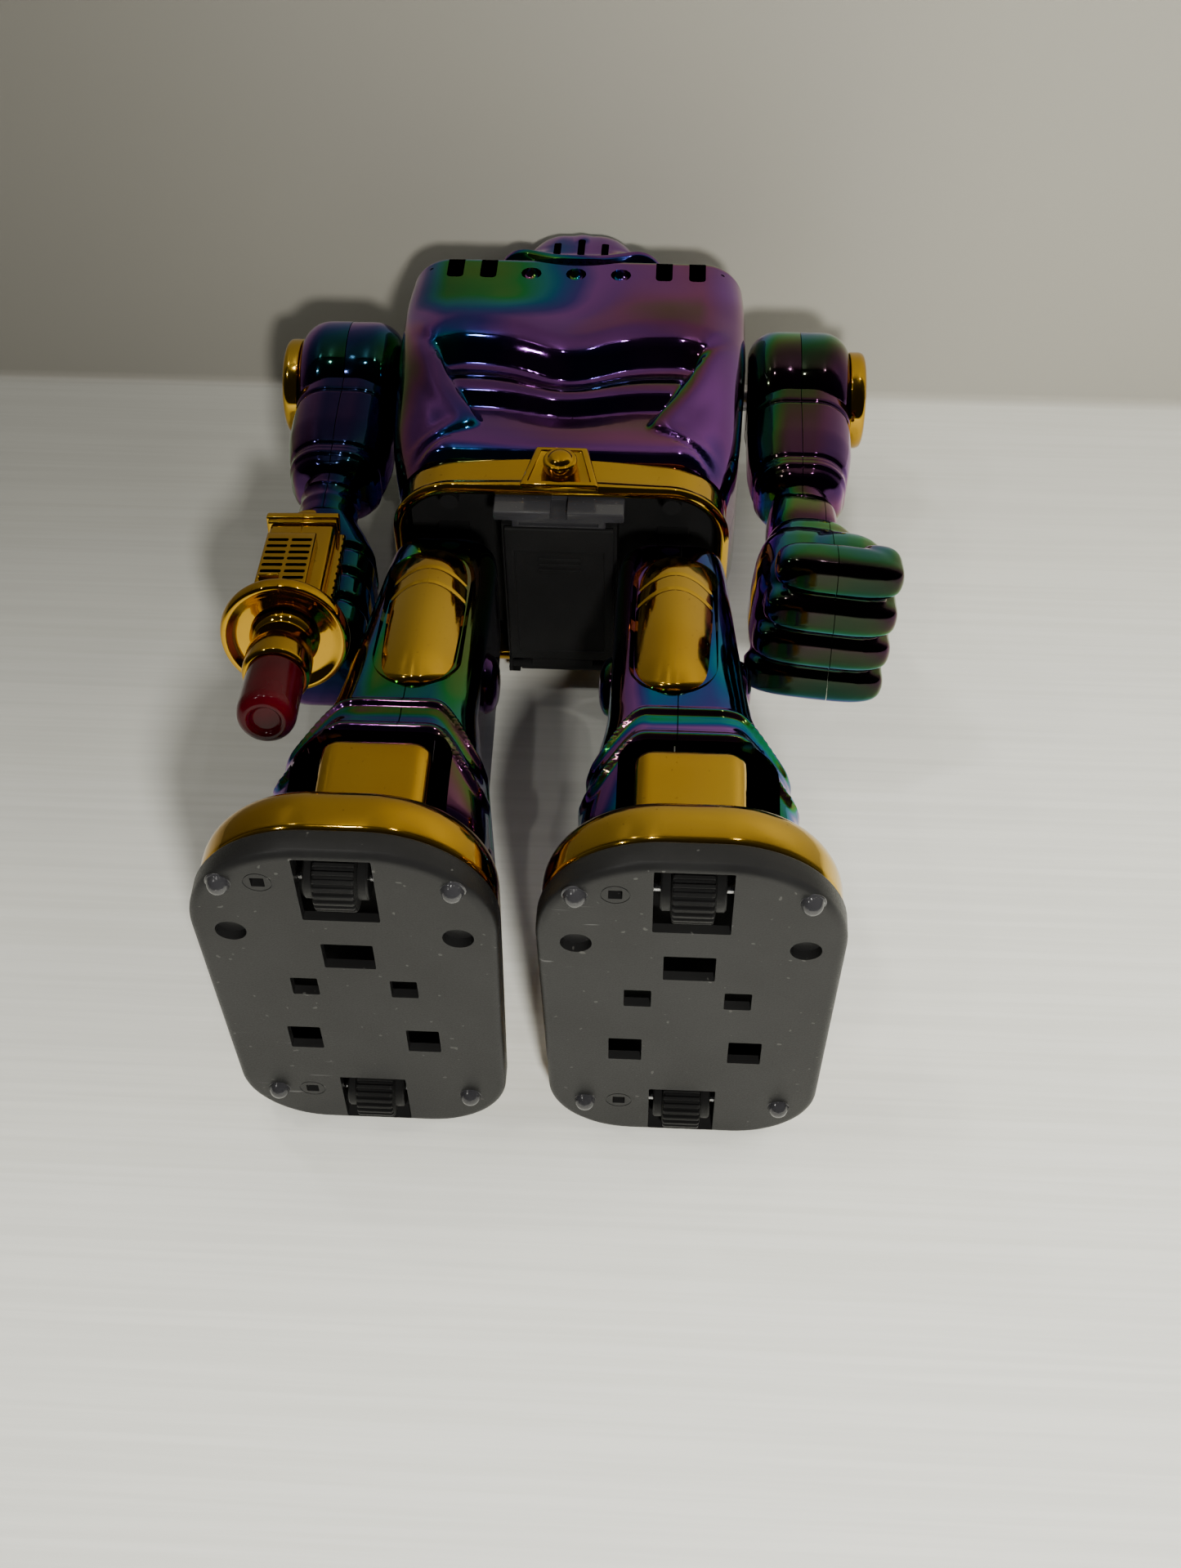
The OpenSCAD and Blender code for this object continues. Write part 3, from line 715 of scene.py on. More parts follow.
def make_chest():
    """Two hollow plated half shells that meet at a seam behind the shoulders."""
    sections = chest_sections()
    counts = (132, 16, 44)
    edge_r = 4.0
    rings = []
    heights = spaced(BELT_TOP, CHEST_TOP - edge_r, 0.9)
    for z in heights:
        half, front, back, r = sections(z)
        ring = []
        for x, y, nx, ny in ring_rect(-half, half, front, back, r, counts):
            if ny < -0.02:
                reach = chest_front(x, z, -front)
                keep = smoothstep(0.02, 0.9, -ny) * (1 - smoothstep(half - 9, half - 1, abs(x)))
                y = y * (1 - keep) + (y + (-front - reach)) * keep
            if ny > 0.5:
                y -= 1.2 * bump(abs(x) - 30, 4) * smoothstep(176, 184, z) * (1 - smoothstep(232, 240, z))
            ring.append((x, y, z))
        rings.append(ring)
    half, front, back, r = sections(CHEST_TOP - edge_r)
    base = ring_rect(-half, half, front, back, r, counts)
    top_front = [chest_front(x, CHEST_TOP - edge_r, -front) for x, _, _, _ in base]
    for step in range(1, 15):
        a = math.radians(90 * step / 14)
        inset = edge_r * (1 - math.cos(a))
        z = CHEST_TOP - edge_r + edge_r * math.sin(a)
        ring = []
        for (x, y, nx, ny), reach in zip(base, top_front):
            if ny < -0.02:
                keep = smoothstep(0.02, 0.9, -ny) * (1 - smoothstep(half - 9, half - 1, abs(x)))
                y = y * (1 - keep) + (y + (-front - reach)) * keep
            ring.append((x - nx * inset, y - ny * inset, z))
        rings.append(ring)
    outer = rings[-1]
    for t in (0.12, 0.3, 0.5, 0.7, 0.86, 1.0):
        rings.append([(x + (6 * math.cos(math.atan2(y - 12, x)) - x) * t, y + (12 + 6 * math.sin(math.atan2(y - 12, x)) - y) * t, z) for x, y, z in outer])
    solid = fix_normals(skin("chest_solid", rings))
    front_shell = halve(copy_of(solid, "chest_front_shell"), "Y", SEAM_Y, False)
    rear_shell = halve(copy_of(solid, "chest_rear_shell"), "Y", SEAM_Y, True)
    discard(solid)
    for shell in (front_shell, rear_shell):
        boolean(shell, chest_hollow(), inner=True)
        boolean(shell, upright("flange_room", 0, 12, 13.4, CHEST_TOP - 8, CHEST_TOP - 2.5), inner=True)
        boolean(shell, upright("neck_hole", 0, 12, 10.2, CHEST_TOP - 6, CHEST_TOP + 4))
    for s in (-1, 1):
        boolean(front_shell, rod("axle_hole", min(s * 38, s * 60), max(s * 38, s * 60), SHOULDER.y, SHOULDER.z, 4.15))
        for x in (26.5, 36.5):
            slot = box_piece("slot", s * x - 2.5, s * x + 2.5, -32, -12.6, CHEST_TOP - 12, CHEST_TOP - 1.2, 1.3)
            boolean(front_shell, slot, inner=True)
        pit = lathe("pit", [(0.01, -1.6), (0.9, -1.2), (1.4, 0), (0.9, 1.2), (0.01, 1.6)], 24)
        pit.data.transform(Matrix.Translation(Vector((s * 43.6, -20.6, CHEST_TOP - 6)) * MM))
        boolean(front_shell, pit)
    for x in (-13.5, 0, 13.5):
        dimple = lathe("dimple", [(0.01, -3.1), (1.6, -2.66), (2.7, -1.52), (3.1, 0), (2.7, 1.52), (1.6, 2.66), (0.01, 3.1)], 40)
        dimple.data.transform(Matrix.Translation(Vector((x, -23.6, CHEST_TOP - 9.3)) * MM))
        boolean(front_shell, dimple)
    scoop_r = 36.0
    boolean(front_shell, prism("scoop", arc(0, CHEST_TOP - 4.8 + scoop_r, scoop_r, 0, 360, 160)[:-1], -40, -2.6, "Y"))
    boolean(rear_shell, box_piece("slot", 17, 23, 44, 60, 180, 193, 0.8), inner=True)
    for i in range(5):
        boolean(rear_shell, box_piece("slot", -14, 14, 44, 60, 205 + i * 6, 207.4 + i * 6, 0.8), inner=True)
    place(finish_mesh(front_shell, 50), "torso", RAINBOW, "rainbow_plating", "chest_shell")
    place(finish_mesh(rear_shell, 50), "torso", RAINBOW, "rainbow_plating", "back_shell")


# ---------------------------------------------------------------- belt

def make_belt():
    """Gold waist belt with a rolled bottom lip and a top edge that rises over the buckle."""
    low, high = node_box("waist_belt")
    half = high.x - 0.8
    front = low.y + 0.8
    back = high.y - 0.8
    counts = (90, 16, 40)
    profile = [(0.9, 0), (0.0, 0.35), (-0.7, 0.9), (-0.8, 1.5), (-0.4, 2.1), (0.15, 2.6), (0.3, 4.0), (0.2, 8.0), (0.5, 11.0)]
    inner = [(1.2, 11.2), (2.3, 11.2), (2.6, 10.6), (2.5, 2.0), (2.3, 0.4), (1.6, 0)]
    rings = []
    for inset, rise in profile + inner + profile[:1]:
        ring = []
        for x, y, nx, ny in ring_rect(-half, half, front, back, 17, counts):
            lift = 1 + 0.52 * math.exp(-(x / 24) ** 2) * smoothstep(0.2, 1.0, -ny)
            lean = -1.4 * smoothstep(0.3, 1.0, -ny) * rise / 11 * (lift - 1) / 0.52
            ring.append((x - nx * inset, y - ny * inset + lean, low.z + rise * lift))
        rings.append(ring)
    belt = fix_normals(skin("waist_belt_ring", rings, False, False))
    place(finish_mesh(belt, 60), "torso", GOLD, "gold_plating", "waist_belt")

    low, high = node_box("belt_buckle")
    wide, narrow = high.x, high.x * 0.66
    plate = prism("belt_buckle_plate", [(-wide, low.z), (wide, low.z), (narrow, high.z + 3), (-narrow, high.z + 3)], low.y + 0.6, high.y, "Y")
    bevel(plate, 0.9, 4)
    panel = prism("panel", [(-wide + 2.2, low.z + 1.6), (wide - 2.2, low.z + 1.6), (narrow - 1.6, high.z + 1.4), (-narrow + 1.6, high.z + 1.4)], low.y - 1, low.y + 1.1, "Y")
    bevel(panel, 0.4, 2)
    boolean(plate, panel)
    place(finish_mesh(plate, 50), "torso", GOLD, "gold_plating", "belt_buckle")

    low, high = node_box("buckle_button")
    r = high.x
    profile = rounded_profile([(0.01, -1.2), (r, -1.2), (r, 1.6), (r - 0.5, 2.1), (r - 1.2, 2.1), (r - 1.6, 2.5)], 0.5)
    profile += [(q, 2.5 + 1.0 * math.sqrt(max(0, 1 - (q / (r - 1.6)) ** 2))) for q in (r - 1.9, r - 2.5, r - 3.2, 0.8, 0.01)]
    button = turned_to_front(lathe("buckle_button_dome", profile, 64), 0, high.y, (low.z + high.z) / 2)
    place(finish_mesh(button, 60), "torso", GOLD, "gold_plating", "buckle_button")


# ---------------------------------------------------------------- pelvis

def make_pelvis():
    """Battery catch and door with moulded detail; the frame itself is the CAD node."""
    low, high = node_box("battery_latch")
    body = prism("battery_latch_body", [(-18, low.y), (18, low.y), (18, low.y + 3.2), (13, low.y + 3.2), (13, high.y), (-13, high.y), (-13, low.y + 3.2), (-18, low.y + 3.2)], low.z, high.z)
    bevel(body, 0.5, 3)
    boolean(body, box_piece("slot", -2.4, 2.4, low.y - 1, low.y + 2.2, low.z - 1, low.z + 8, 0.3))
    boolean(body, box_piece("tray", -11, 11, low.y + 3.4, high.y - 0.8, low.z - 1, low.z + 1.2, 0.3))
    place(finish_mesh(body), "torso", GLOSS_BLACK, "black_gloss", "battery_latch")

    low, high = node_box("battery_door")
    panel = box_piece("battery_door_panel", -15.2, 15.2, -9, 43.6, 151.4, 153.3, 0.5)
    tongue = box_piece("tongue", -9, 9, 43.4, 46.8, 151.3, 153.1, 0.4)
    barrel = rod("barrel", -12.1, 12.1, 46.8, 152.6, 1.6)
    pins = rod("pins", -15.6, 15.6, 46.8, 152.6, 1.2)
    boolean(panel, tongue, "UNION")
    boolean(panel, barrel, "UNION")
    boolean(panel, pins, "UNION")
    boolean(panel, box_piece("recess", -12.6, 12.6, -1, 40, 150, 151.9, 0.4))
    for i in range(3):
        boolean(panel, box_piece("rib", -6, 6, 2 + i * 2.2, 3 + i * 2.2, 151.5, 152.4, 0.2), "UNION")
    place(finish_mesh(panel), "battery_door", BLACK, "black_plastic", "battery_door")


# ---------------------------------------------------------------- head

head_low, head_high = node_box("head_front")
HEAD_Z = head_low.z
# Size of the head at each height above its underside: half width, front, back and corner radius
HEAD_SECTIONS = stations(
    (0.0, 20.6, -8.6, 32.6, 12.8),
    (3.0, 21.8, -10.2, 33.8, 13.6),
    (6.0, 23.6, -11.8, 35.2, 12.8),
    (8.4, 25.4, -13.3, 36.6, 10.8),
    (9.8, 26.2, -13.9, 37.3, 10.2),
    (10.8, 26.2, -13.9, 37.3, 10.2),
    (11.6, 25.0, -13.5, 36.4, 11.0),
    (13.0, 22.6, -13.0, 35.0, 12.6),
    (15.5, 20.9, -12.6, 33.9, 13.4),
    (19.0, 19.8, -12.1, 33.0, 12.8),
    (23.0, 18.2, -11.3, 31.6, 12),
    (26.0, 16.2, -10.2, 29.8, 10.8),
    (28.2, 13.6, -8.4, 27.4, 9.4),
    (29.6, 10.4, -5.8, 24.2, 8),
    (30.5, 6.6, -2.4, 21.0, 6),
    (30.9, 3.4, 2.0, 18.0, 3.2),
)
VISOR_Z = HEAD_Z + 6.3


def head_lift(x, rise):
    """The brim rises towards the ears."""
    return 3.4 * smoothstep(5, 23, abs(x)) * smoothstep(1, 7, rise) * (1 - smoothstep(11, 24, rise))


def head_hollow():
    rings = []
    for rise in spaced(2.0, 27.0, 1.6):
        half, front, back, r = HEAD_SECTIONS(rise)
        grow = 2.6
        rings.append([(x, y, HEAD_Z + rise + head_lift(x, rise)) for x, y, _, _ in ring_rect(-half + grow, half - grow, front + grow, back - grow, r - 1.8, (12, 8, 10))])
    return fix_normals(skin("hollow", rings))


def make_head():
    """Bell-shaped helmet: a flared brim over a narrow visor and three vents."""
    counts = (72, 22, 40)
    rings = []
    for rise in [0, 0.4, 0.8] + spaced(1.3, 8.3, 0.5) + spaced(8.5, 12.5, 0.2) + spaced(12.9, 28.4, 0.5) + spaced(28.6, 30.9, 0.17):
        half, front, back, r = HEAD_SECTIONS(rise)
        ring = []
        for x, y, nx, ny in ring_rect(-half, half, front, back, r, counts):
            comb = 0.5 * bump(x, 3.0) * smoothstep(19, 23, rise) * (1 - smoothstep(27, 30, rise))
            ring.append((x + nx * comb, y + ny * comb, HEAD_Z + rise + head_lift(x, rise)))
        rings.append(ring)
    solid = fix_normals(skin("head_solid", rings))
    front = halve(copy_of(solid, "head_face_shell"), "Y", 12, False)
    rear = halve(copy_of(solid, "head_rear_shell"), "Y", 12, True)
    discard(solid)
    for shell in (front, rear):
        boolean(shell, head_hollow(), inner=True)
        boolean(shell, upright("neck_room", 0, 12, 7.3, HEAD_Z - 3, HEAD_Z + 9.8), inner=True)
    boolean(front, box_piece("slot", -16.6, 16.6, -30, -8.6, VISOR_Z - 3.0, VISOR_Z + 3.0, 2.2, 5), inner=True)
    for x, extra in ((-7.5, 0), (0, 2.2), (7.5, 0)):
        boolean(front, box_piece("vent", x - 1.15, x + 1.15, -20, -7.5, HEAD_Z + 11.8, HEAD_Z + 19.6 + extra, 0.6), inner=True)
    for i in range(3):
        boolean(rear, box_piece("vent", -8, 8, 28, 50, HEAD_Z + 11 + i * 3.8, HEAD_Z + 12.6 + i * 3.8, 0.5), inner=True)
    place(finish_mesh(front, 45), "head", RAINBOW, "rainbow_plating", "head_front")
    place(finish_mesh(rear, 45), "head", RAINBOW, "rainbow_plating", "head_back")
    outline = []
    for i in range(72):
        a = 2 * math.pi * i / 72
        outline.append((
            16.2 * math.copysign(abs(math.cos(a)) ** 0.8, math.cos(a)),
            VISOR_Z + 2.8 * math.copysign(abs(math.sin(a)) ** 0.8, math.sin(a)),
        ))
    visor = bevel(prism("head_visor_lens", outline, -11.0, -8.7, "Y"), 0.4, 3)
    for i in range(7):
        x = -9 + i * 3
        boolean(visor, box_piece("bar", x - 0.5, x + 0.5, -11.5, -10, VISOR_Z - 1.6, VISOR_Z + 1.6, 0.2), "UNION")
    place(finish_mesh(visor), "head", GLOSS_BLACK, "black_gloss", "head_visor")


# ---------------------------------------------------------------- arms

WRIST_Z = node_box("gun_body")[1].z
BULB_R = 20
# Size of a limb at each height: half width, half depth, corner radius and the middle's y
ARM_LIMB = stations(
    (WRIST_Z, 8.3, 8.3, 8.2, 6.5),
    (174, 8.1, 8.1, 8.0, 6.5),
    (180.4, 8.4, 8.4, 8.2, 6.7),
    (181.2, 9.9, 9.9, 9.0, 7.2),
    (182.2, 11.3, 11.2, 9.8, 7.7),
    (184.0, 12.4, 12.2, 10.0, 8.0),
    (188, 13.2, 13.0, 10.3, 8.0),
    (193, 14.4, 14.0, 10.8, 8.0),
    (200, 15.2, 14.7, 11.2, 8.0),
    (214, 15.4, 14.9, 11.5, 8.0),
    (229, 15.2, 14.8, 12.0, 8.0),
)


def make_arm_shells():
    """Left arm: shoulder bulb, barrel sleeve and slim forearm, split down the middle, then mirrored for the right."""
    r, w, c = BULB_R, 15.6, 9.0
    profile = [(0.01, -w), (r - c, -w)]
    profile += [(r - c + c * math.sin(math.radians(a)), -w + c - c * math.cos(math.radians(a))) for a in range(8, 91, 8)]
    profile += [(r, 0)]
    profile += [(q, -z) for q, z in reversed(profile[:-1])]
    bulb = turned_to_x(lathe("bulb", profile, 112), *SHOULDER)
    rings = []
    for z in spaced(WRIST_Z, 180, 1.0) + spaced(180.4, 228, 0.5):
        half_x, half_y, corner, y = ARM_LIMB(z)
        relief = 0.45 * bump(z - 186.2, 1.5) - 0.5 * bump(z - 189.2, 1.0) - 0.55 * bump(z - 211.5, 1.1)
        relief += 0.5 * (bump(z - 171.5, 1.2) + bump(z - 176.0, 1.2))
        ring = []
        for px, py, nx, ny in ring_rect(SHOULDER.x - half_x, SHOULDER.x + half_x, y - half_y, y + half_y, corner, (24, 18, 24)):
            ring.append((px + nx * relief, py + ny * relief, z))
        rings.append(ring)
    limb = fix_normals(skin("limb", rings))
    solid = boolean(bulb, limb, "UNION")
    for part, keep_high in (("outer", True), ("inner", False)):
        left = halve(copy_of(solid, f"left_arm_{part}_shell"), "X", SHOULDER.x, keep_high)
        bevel(left, 0.25, 2, 60)
        right = mirrored(left, f"right_arm_{part}_shell")
        for side, piece in (("left", left), ("right", right)):
            finish_mesh(piece, 40)
            place(piece, side + "_arm", RAINBOW_LIMB, "rainbow_plating", f"{side}_arm_{part}")
    discard(solid)


def make_shoulder_discs():
    """Turned gold disc with a dished face, on the outside of each shoulder."""
    profile = rounded_profile([
        (0.01, -0.4), (14.5, -0.4), (14.5, 2.8), (14.0, 3.9), (12.8, 4.5), (11.2, 4.4), (9.6, 4.1),
        (8.8, 3.5), (8.2, 4.3), (7.2, 4.9), (4.0, 5.4), (0.01, 5.6),
    ], 0.6, 4)
    for side, s in (("left", 1), ("right", -1)):
        disc = turned_to_x(lathe(side + "_shoulder_disc_face", profile, 96), s * (SHOULDER.x + 15.6), SHOULDER.y, SHOULDER.z, s < 0)
        place(finish_mesh(disc, 45), side + "_arm", GOLD, "gold_plating", side + "_shoulder_disc")


HAND_TILT = -13
GUN_LEAN = -2.5
GUN_X = -72.7
FIST_X = 73
FIST_TURN = 6


def at_wrist(piece, x, axis="Y", angle=0.0):
    """Moves a piece from its own frame, where -Z leaves the forearm, to a wrist."""
    turn = Matrix.Rotation(math.radians(HAND_TILT), 4, "X") @ Matrix.Rotation(math.radians(angle), 4, axis)
    piece.data.transform(Matrix.Translation(Vector((x, SHOULDER.y - 1.5, WRIST_Z)) * MM) @ turn)
    return piece


def blob(name, centre, size, squareness=2.6, steps=(28, 20)):
    """Rounded block: a superellipsoid with the given half sizes."""
    across, up = steps
    rings = []
    e = 2 / squareness

    def power(v):
        return math.copysign(abs(v) ** e, v)

    for j in range(1, up):
        b = -math.pi / 2 + math.pi * j / up
        ring = []
        for i in range(across):
            a = 2 * math.pi * i / across
            ring.append((
                centre[0] + size[0] * power(math.cos(a)) * power(math.cos(b)),
                centre[1] + size[1] * power(math.sin(a)) * power(math.cos(b)),
                centre[2] + size[2] * power(math.sin(b)),
            ))
        rings.append(ring)
    return fix_normals(skin(name, rings))


def blend_solid(piece, voxel, rounds):
    """Melts overlapping parts into one smooth skin."""
    remesh = piece.modifiers.new("remesh", "REMESH")
    remesh.mode = "VOXEL"
    remesh.voxel_size = voxel * MM
    smooth = piece.modifiers.new("smooth", "CORRECTIVE_SMOOTH")
    smooth.iterations = rounds
    smooth.use_only_smooth = True
    return bake(piece)


def make_fist():
    """Closed left fist: cuff, sloping back of the hand, palm, and four finger rolls with their knuckles."""
    parts = [
        blob("cuff", (-4.8, 0, -5), (8.7, 8.7, 8), 2.8),
        blob("back", (-3.4, -0.5, -16.5), (13.4, 13.6, 12.5), 2.7),
        blob("palm", (-3.0, 2.0, -29.5), (16.6, 18.4, 16.4), 3.4),
        blob("slope", (3.4, -3.0, -29.0), (14.0, 15.0, 13.5), 2.6),
        blob("wrist_ring", (-4.8, 0, 4), (10.0, 10.0, 11), 3.0),
    ]
    for i in range(4):
        y = -17.2 + i * 11.3
        low, high = -16.6 - 1.2 * i, 17.6 + 0.4 * i
        drop = 1.2 * abs(i - 1.2)
        parts.append(blob("finger", ((low + high) / 2, y, -44.4 + drop), ((high - low) / 2, 5.9, 6.2), 3.4))
        rise = (7.5, 10.0, 12.0, 12.0)[i]
        parts.append(blob("knuckle", (high - 6.4, y * 0.98, -49.0 + rise + drop), (6.3, 5.6, rise), 2.8))
    fist = join("fist", parts)
    blend_solid(fist, 0.6, 7)
    at_wrist(fist, FIST_X, "Z", FIST_TURN)
    low, high = node_box("left_fist")
    boolean(fist, box_piece("limit", low.x, high.x, -60, 60, 95, WRIST_Z + 13, 0), "INTERSECT")
    halves = [halve(copy_of(fist, "half"), "X", FIST_X + 1.5, keep_high, 0.11) for keep_high in (False, True)]
    discard(fist)
    fist = join("left_fist_shell", halves)
    place(finish_mesh(fist, 60), "left_arm", RAINBOW_LIMB, "rainbow_plating", "left_fist")


def make_right_hand():
    """Plated hand behind the gun, with finger grooves across its front and sides."""
    sections = stations(
        (113.2, -72.5, -55.5, 6.0, 22.0, 7),
        (114.4, -75.4, -53.2, 3.2, 24.8, 8),
        (118, -77.2, -52.3, 0.6, 26.0, 8),
        (122, -77.7, -52.1, -0.6, 26.7, 8),
        (152, -78.6, -52.1, -1.6, 23.6, 8),
        (158, -78.0, -54.4, -1.7, 20.6, 8),
        (WRIST_Z - 0.3, -76.6, -58.4, -1.6, 14.6, 8),
    )
    rings = []
    for z in spaced(113.2, WRIST_Z - 0.3, 0.6):
        x0, x1, y0, y1, r = sections(z)
        groove = 1.7 * sum(bump(z - (122.5 + 9.6 * i), 2.0) for i in range(4))
        ring = []
        for x, y, nx, ny in ring_rect(x0, x1, y0, y1, r, (36, 14, 36)):
            cut = groove * (1 - smoothstep(0.3, 0.9, ny))
            ring.append((x - nx * cut, y - ny * cut, z))
        rings.append(ring)
    hand = fix_normals(skin("right_hand_shell", rings))
    place(finish_mesh(hand, 60), "right_arm", RAINBOW_LIMB, "rainbow_plating", "right_hand")


def make_gun():
    """Gold hand gun: flange, plain block, ribbed panel, rimmed guard, stepped barrel and a dark red tip."""
    guard_r = 17.2
    body = box_piece("gun_body_block", -8.6, 9.4, -9.6, 11, -51.6, -11.8, 1.0, 4)
    boolean(body, box_piece("flange", -10, 10.4, -11, 12, -12.8, -10.0, 0.6), "UNION")
    boolean(body, box_piece("step", -9.4, 9.9, -10.4, 11.5, -14.6, -12.2, 0.5), "UNION")
    collar = lathe("collar", rounded_profile([(0.01, -11), (7.6, -11), (7.6, -2.6), (6.8, -1.0), (0.01, -0.8)], 0.6), 64)
    collar.data.transform(Matrix.Translation(Vector((1, 0, 0)) * MM))
    boolean(body, collar, "UNION")
    boolean(body, box_piece("panel", -8.0, 5.6, -12.3, -8, -50.8, -23, 0.5), "UNION")
    for s in (-1, 1):
        for i in range(7):
            low = -47 + i * 3.2
            boolean(body, box_piece("rib", s * 3.2 - 4, s * 3.2 + 1.6, -13.6, -11.8, low, low + 1.5, 0.5), "UNION")
    boolean(body, box_piece("rail", 9.0, 12.1, -6, 8, -48, -13, 0.8), "UNION")
    for i in range(9):
        boolean(body, box_piece("notch", 11.4, 13, -8, 10, -45.6 + i * 3.6, -44.2 + i * 3.6, 0.2))
    boolean(body, box_piece("seam", 0.3, 0.5, -11.2, -9.2, -23.5, -9.6, 0))
    guard = lathe("gun_guard_disc", rounded_profile([
        (0.01, -56.4), (10.0, -56.4), (13.4, -56.8), (15.4, -57.8), (guard_r - 0.6, -57.6), (guard_r, -56.0), (guard_r, -54.4),
        (guard_r - 1.0, -53.2), (11, -51.9), (0.01, -51.1),
    ], 1.3, 7), 128)
    barrel = lathe("gun_barrel_steps", rounded_profile([
        (0.01, -74.8), (8.0, -74.8), (8.8, -74.0), (8.8, -66.0), (8.2, -65.0), (7.5, -64.4), (7.5, -60.2),
        (8.4, -59.2), (9.4, -57.2), (0.01, -57.0),
    ], 0.7, 4), 96)
    boolean(guard, box_piece("seam", -0.14, 0.14, -30, -8.4, -76, -56.9, 0))
    for s in (-1, 1):
        low, high = sorted((s * 9.3, s * 13))
        boolean(barrel, box_piece("seam", -0.14, 0.14, low, high, -76, -56.9, 0))
    tip = lathe("gun_tip_lens", rounded_profile([
        (0.01, -92.6), (3.6, -92.6), (4.2, -93.8), (5.6, -93.9), (7.0, -92.9), (7.6, -91.0), (7.6, -75.0), (0.01, -75.0),
    ], 0.9, 5), 96)
    for piece, material, slot, node in (
        (body, GOLD, "gold_plating", "gun_body"),
        (guard, GOLD, "gold_plating", "gun_guard"),
        (barrel, GOLD, "gold_plating", "gun_barrel"),
        (tip, RED, "red_clear", "gun_tip"),
    ):
        at_wrist(piece, GUN_X, "Y", GUN_LEAN)
        place(finish_mesh(piece, 35), "right_arm", material, slot, node)


# ---------------------------------------------------------------- legs

LEG_SEAM_X = 34
ANKLE = Vector((37.3, 5, 42))
HIP = Vector((31.6, 13, 144))
LEG_SECTIONS = stations(
    (34, 13.4, 61.4, -8, 32, 9),
    (38, 12.0, 62.6, -16, 42, 11),
    (46, 11.0, 63.6, -21.5, 50, 13),
    (58, 12.2, 62.4, -22.8, 50, 14),
    (70, 14.4, 58.4, -21.4, 48.4, 13),
    (84, 16.4, 53.2, -19, 46, 11),
    (104, 16.6, 50.4, -15.9, 42.8, 10),
    (126, 16.6, 48.2, -12, 38.5, 9.5),
    (143, 16.8, 46.5, -8.6, 35, 9),
    (149, 17.6, 45.6, -6.8, 33, 8.6),
    (151.6, 19.4, 43.8, -4.2, 30.4, 8),
    (152.6, 22.0, 41.2, -1.4, 27.6, 7),
)


def leg_relief(x, z, nx, ny):
    """Outward relief of a leg: two rounded cuffs that sweep down towards the ankle."""
    across = abs(x - LEG_SEAM_X - 3)
    q = z + 15 * smoothstep(11, 25, across)
    front = max(smoothstep(-0.2, 0.5, -ny), 0.8 * smoothstep(0.5, 0.9, abs(nx)))
    back = smoothstep(0.5, 0.9, ny)
    cuffs = 1.25 * bump(q - 77.5, 1.9) + 1.25 * bump(q - 68.3, 2.1) - 0.35 * bump(q - 73, 2.6)
    return cuffs * max(front, 0.9 * back)


def leg_hollow():
    rings = []
    for z in spaced(32, 63, 3) + spaced(66, 88, 4) + spaced(94, 148, 9) + [149.4]:
        x0, x1, y0, y1, r = LEG_SECTIONS(max(z, 34))
        if z < 38:
            y0, y1 = -16, 42
        grow = 2.2
        rings.append([(x, y, z) for x, y, _, _ in ring_rect(x0 + grow, x1 - grow, y0 + grow, y1 - grow, r - 1.5, (16, 6, 12))])
    return fix_normals(skin("hollow", rings))


def leg_arch():
    """Opening through the front and the back of a leg, round the ankle block."""
    middle = ANKLE.x + 2
    outline = [(middle - 19.4, 20), (middle + 19.4, 20)]
    outline += arc(middle + 12.4, 59.6, 7.0, 0, 90, 10) + arc(middle - 12.4, 59.6, 7.0, 90, 180, 10)
    return bevel(prism("arch", outline, -60, 80, "Y"), 0.2, 1)


def make_legs():
    """Each leg is two hollow half shells with arched openings at the ankle and an open top for the hip hanger."""
    rings = []
    heights = spaced(34, 56, 1.0) + spaced(56.4, 84, 0.4) + spaced(85, 148, 1.2) + spaced(148.6, 152.6, 0.5)
    for z in heights:
        x0, x1, y0, y1, r = LEG_SECTIONS(z)
        ring = []
        for x, y, nx, ny in ring_rect(x0, x1, y0, y1, r, (72, 30, 52)):
            out = leg_relief(x, z, nx, ny)
            ring.append((x + nx * out, y + ny * out, z))
        rings.append(ring)
    solid = fix_normals(skin("leg_solid", rings))
    for part, keep_high in (("outer", True), ("inner", False)):
        left = halve(copy_of(solid, f"left_leg_{part}_shell"), "X", LEG_SEAM_X, keep_high, 0.14)
        boolean(left, leg_hollow(), inner=True)
        boolean(left, leg_arch())
        boolean(left, box_piece("hip_opening", 25.5, 37.5, -1, 27, 130, 160, 0), inner=True)
        right = mirrored(left, f"right_leg_{part}_shell")
        for side, piece in (("left", left), ("right", right)):
            finish_mesh(piece, 42)
            place(piece, side + "_leg", RAINBOW_LEG, "rainbow_plating", f"{side}_leg_{part}")
    discard(solid)


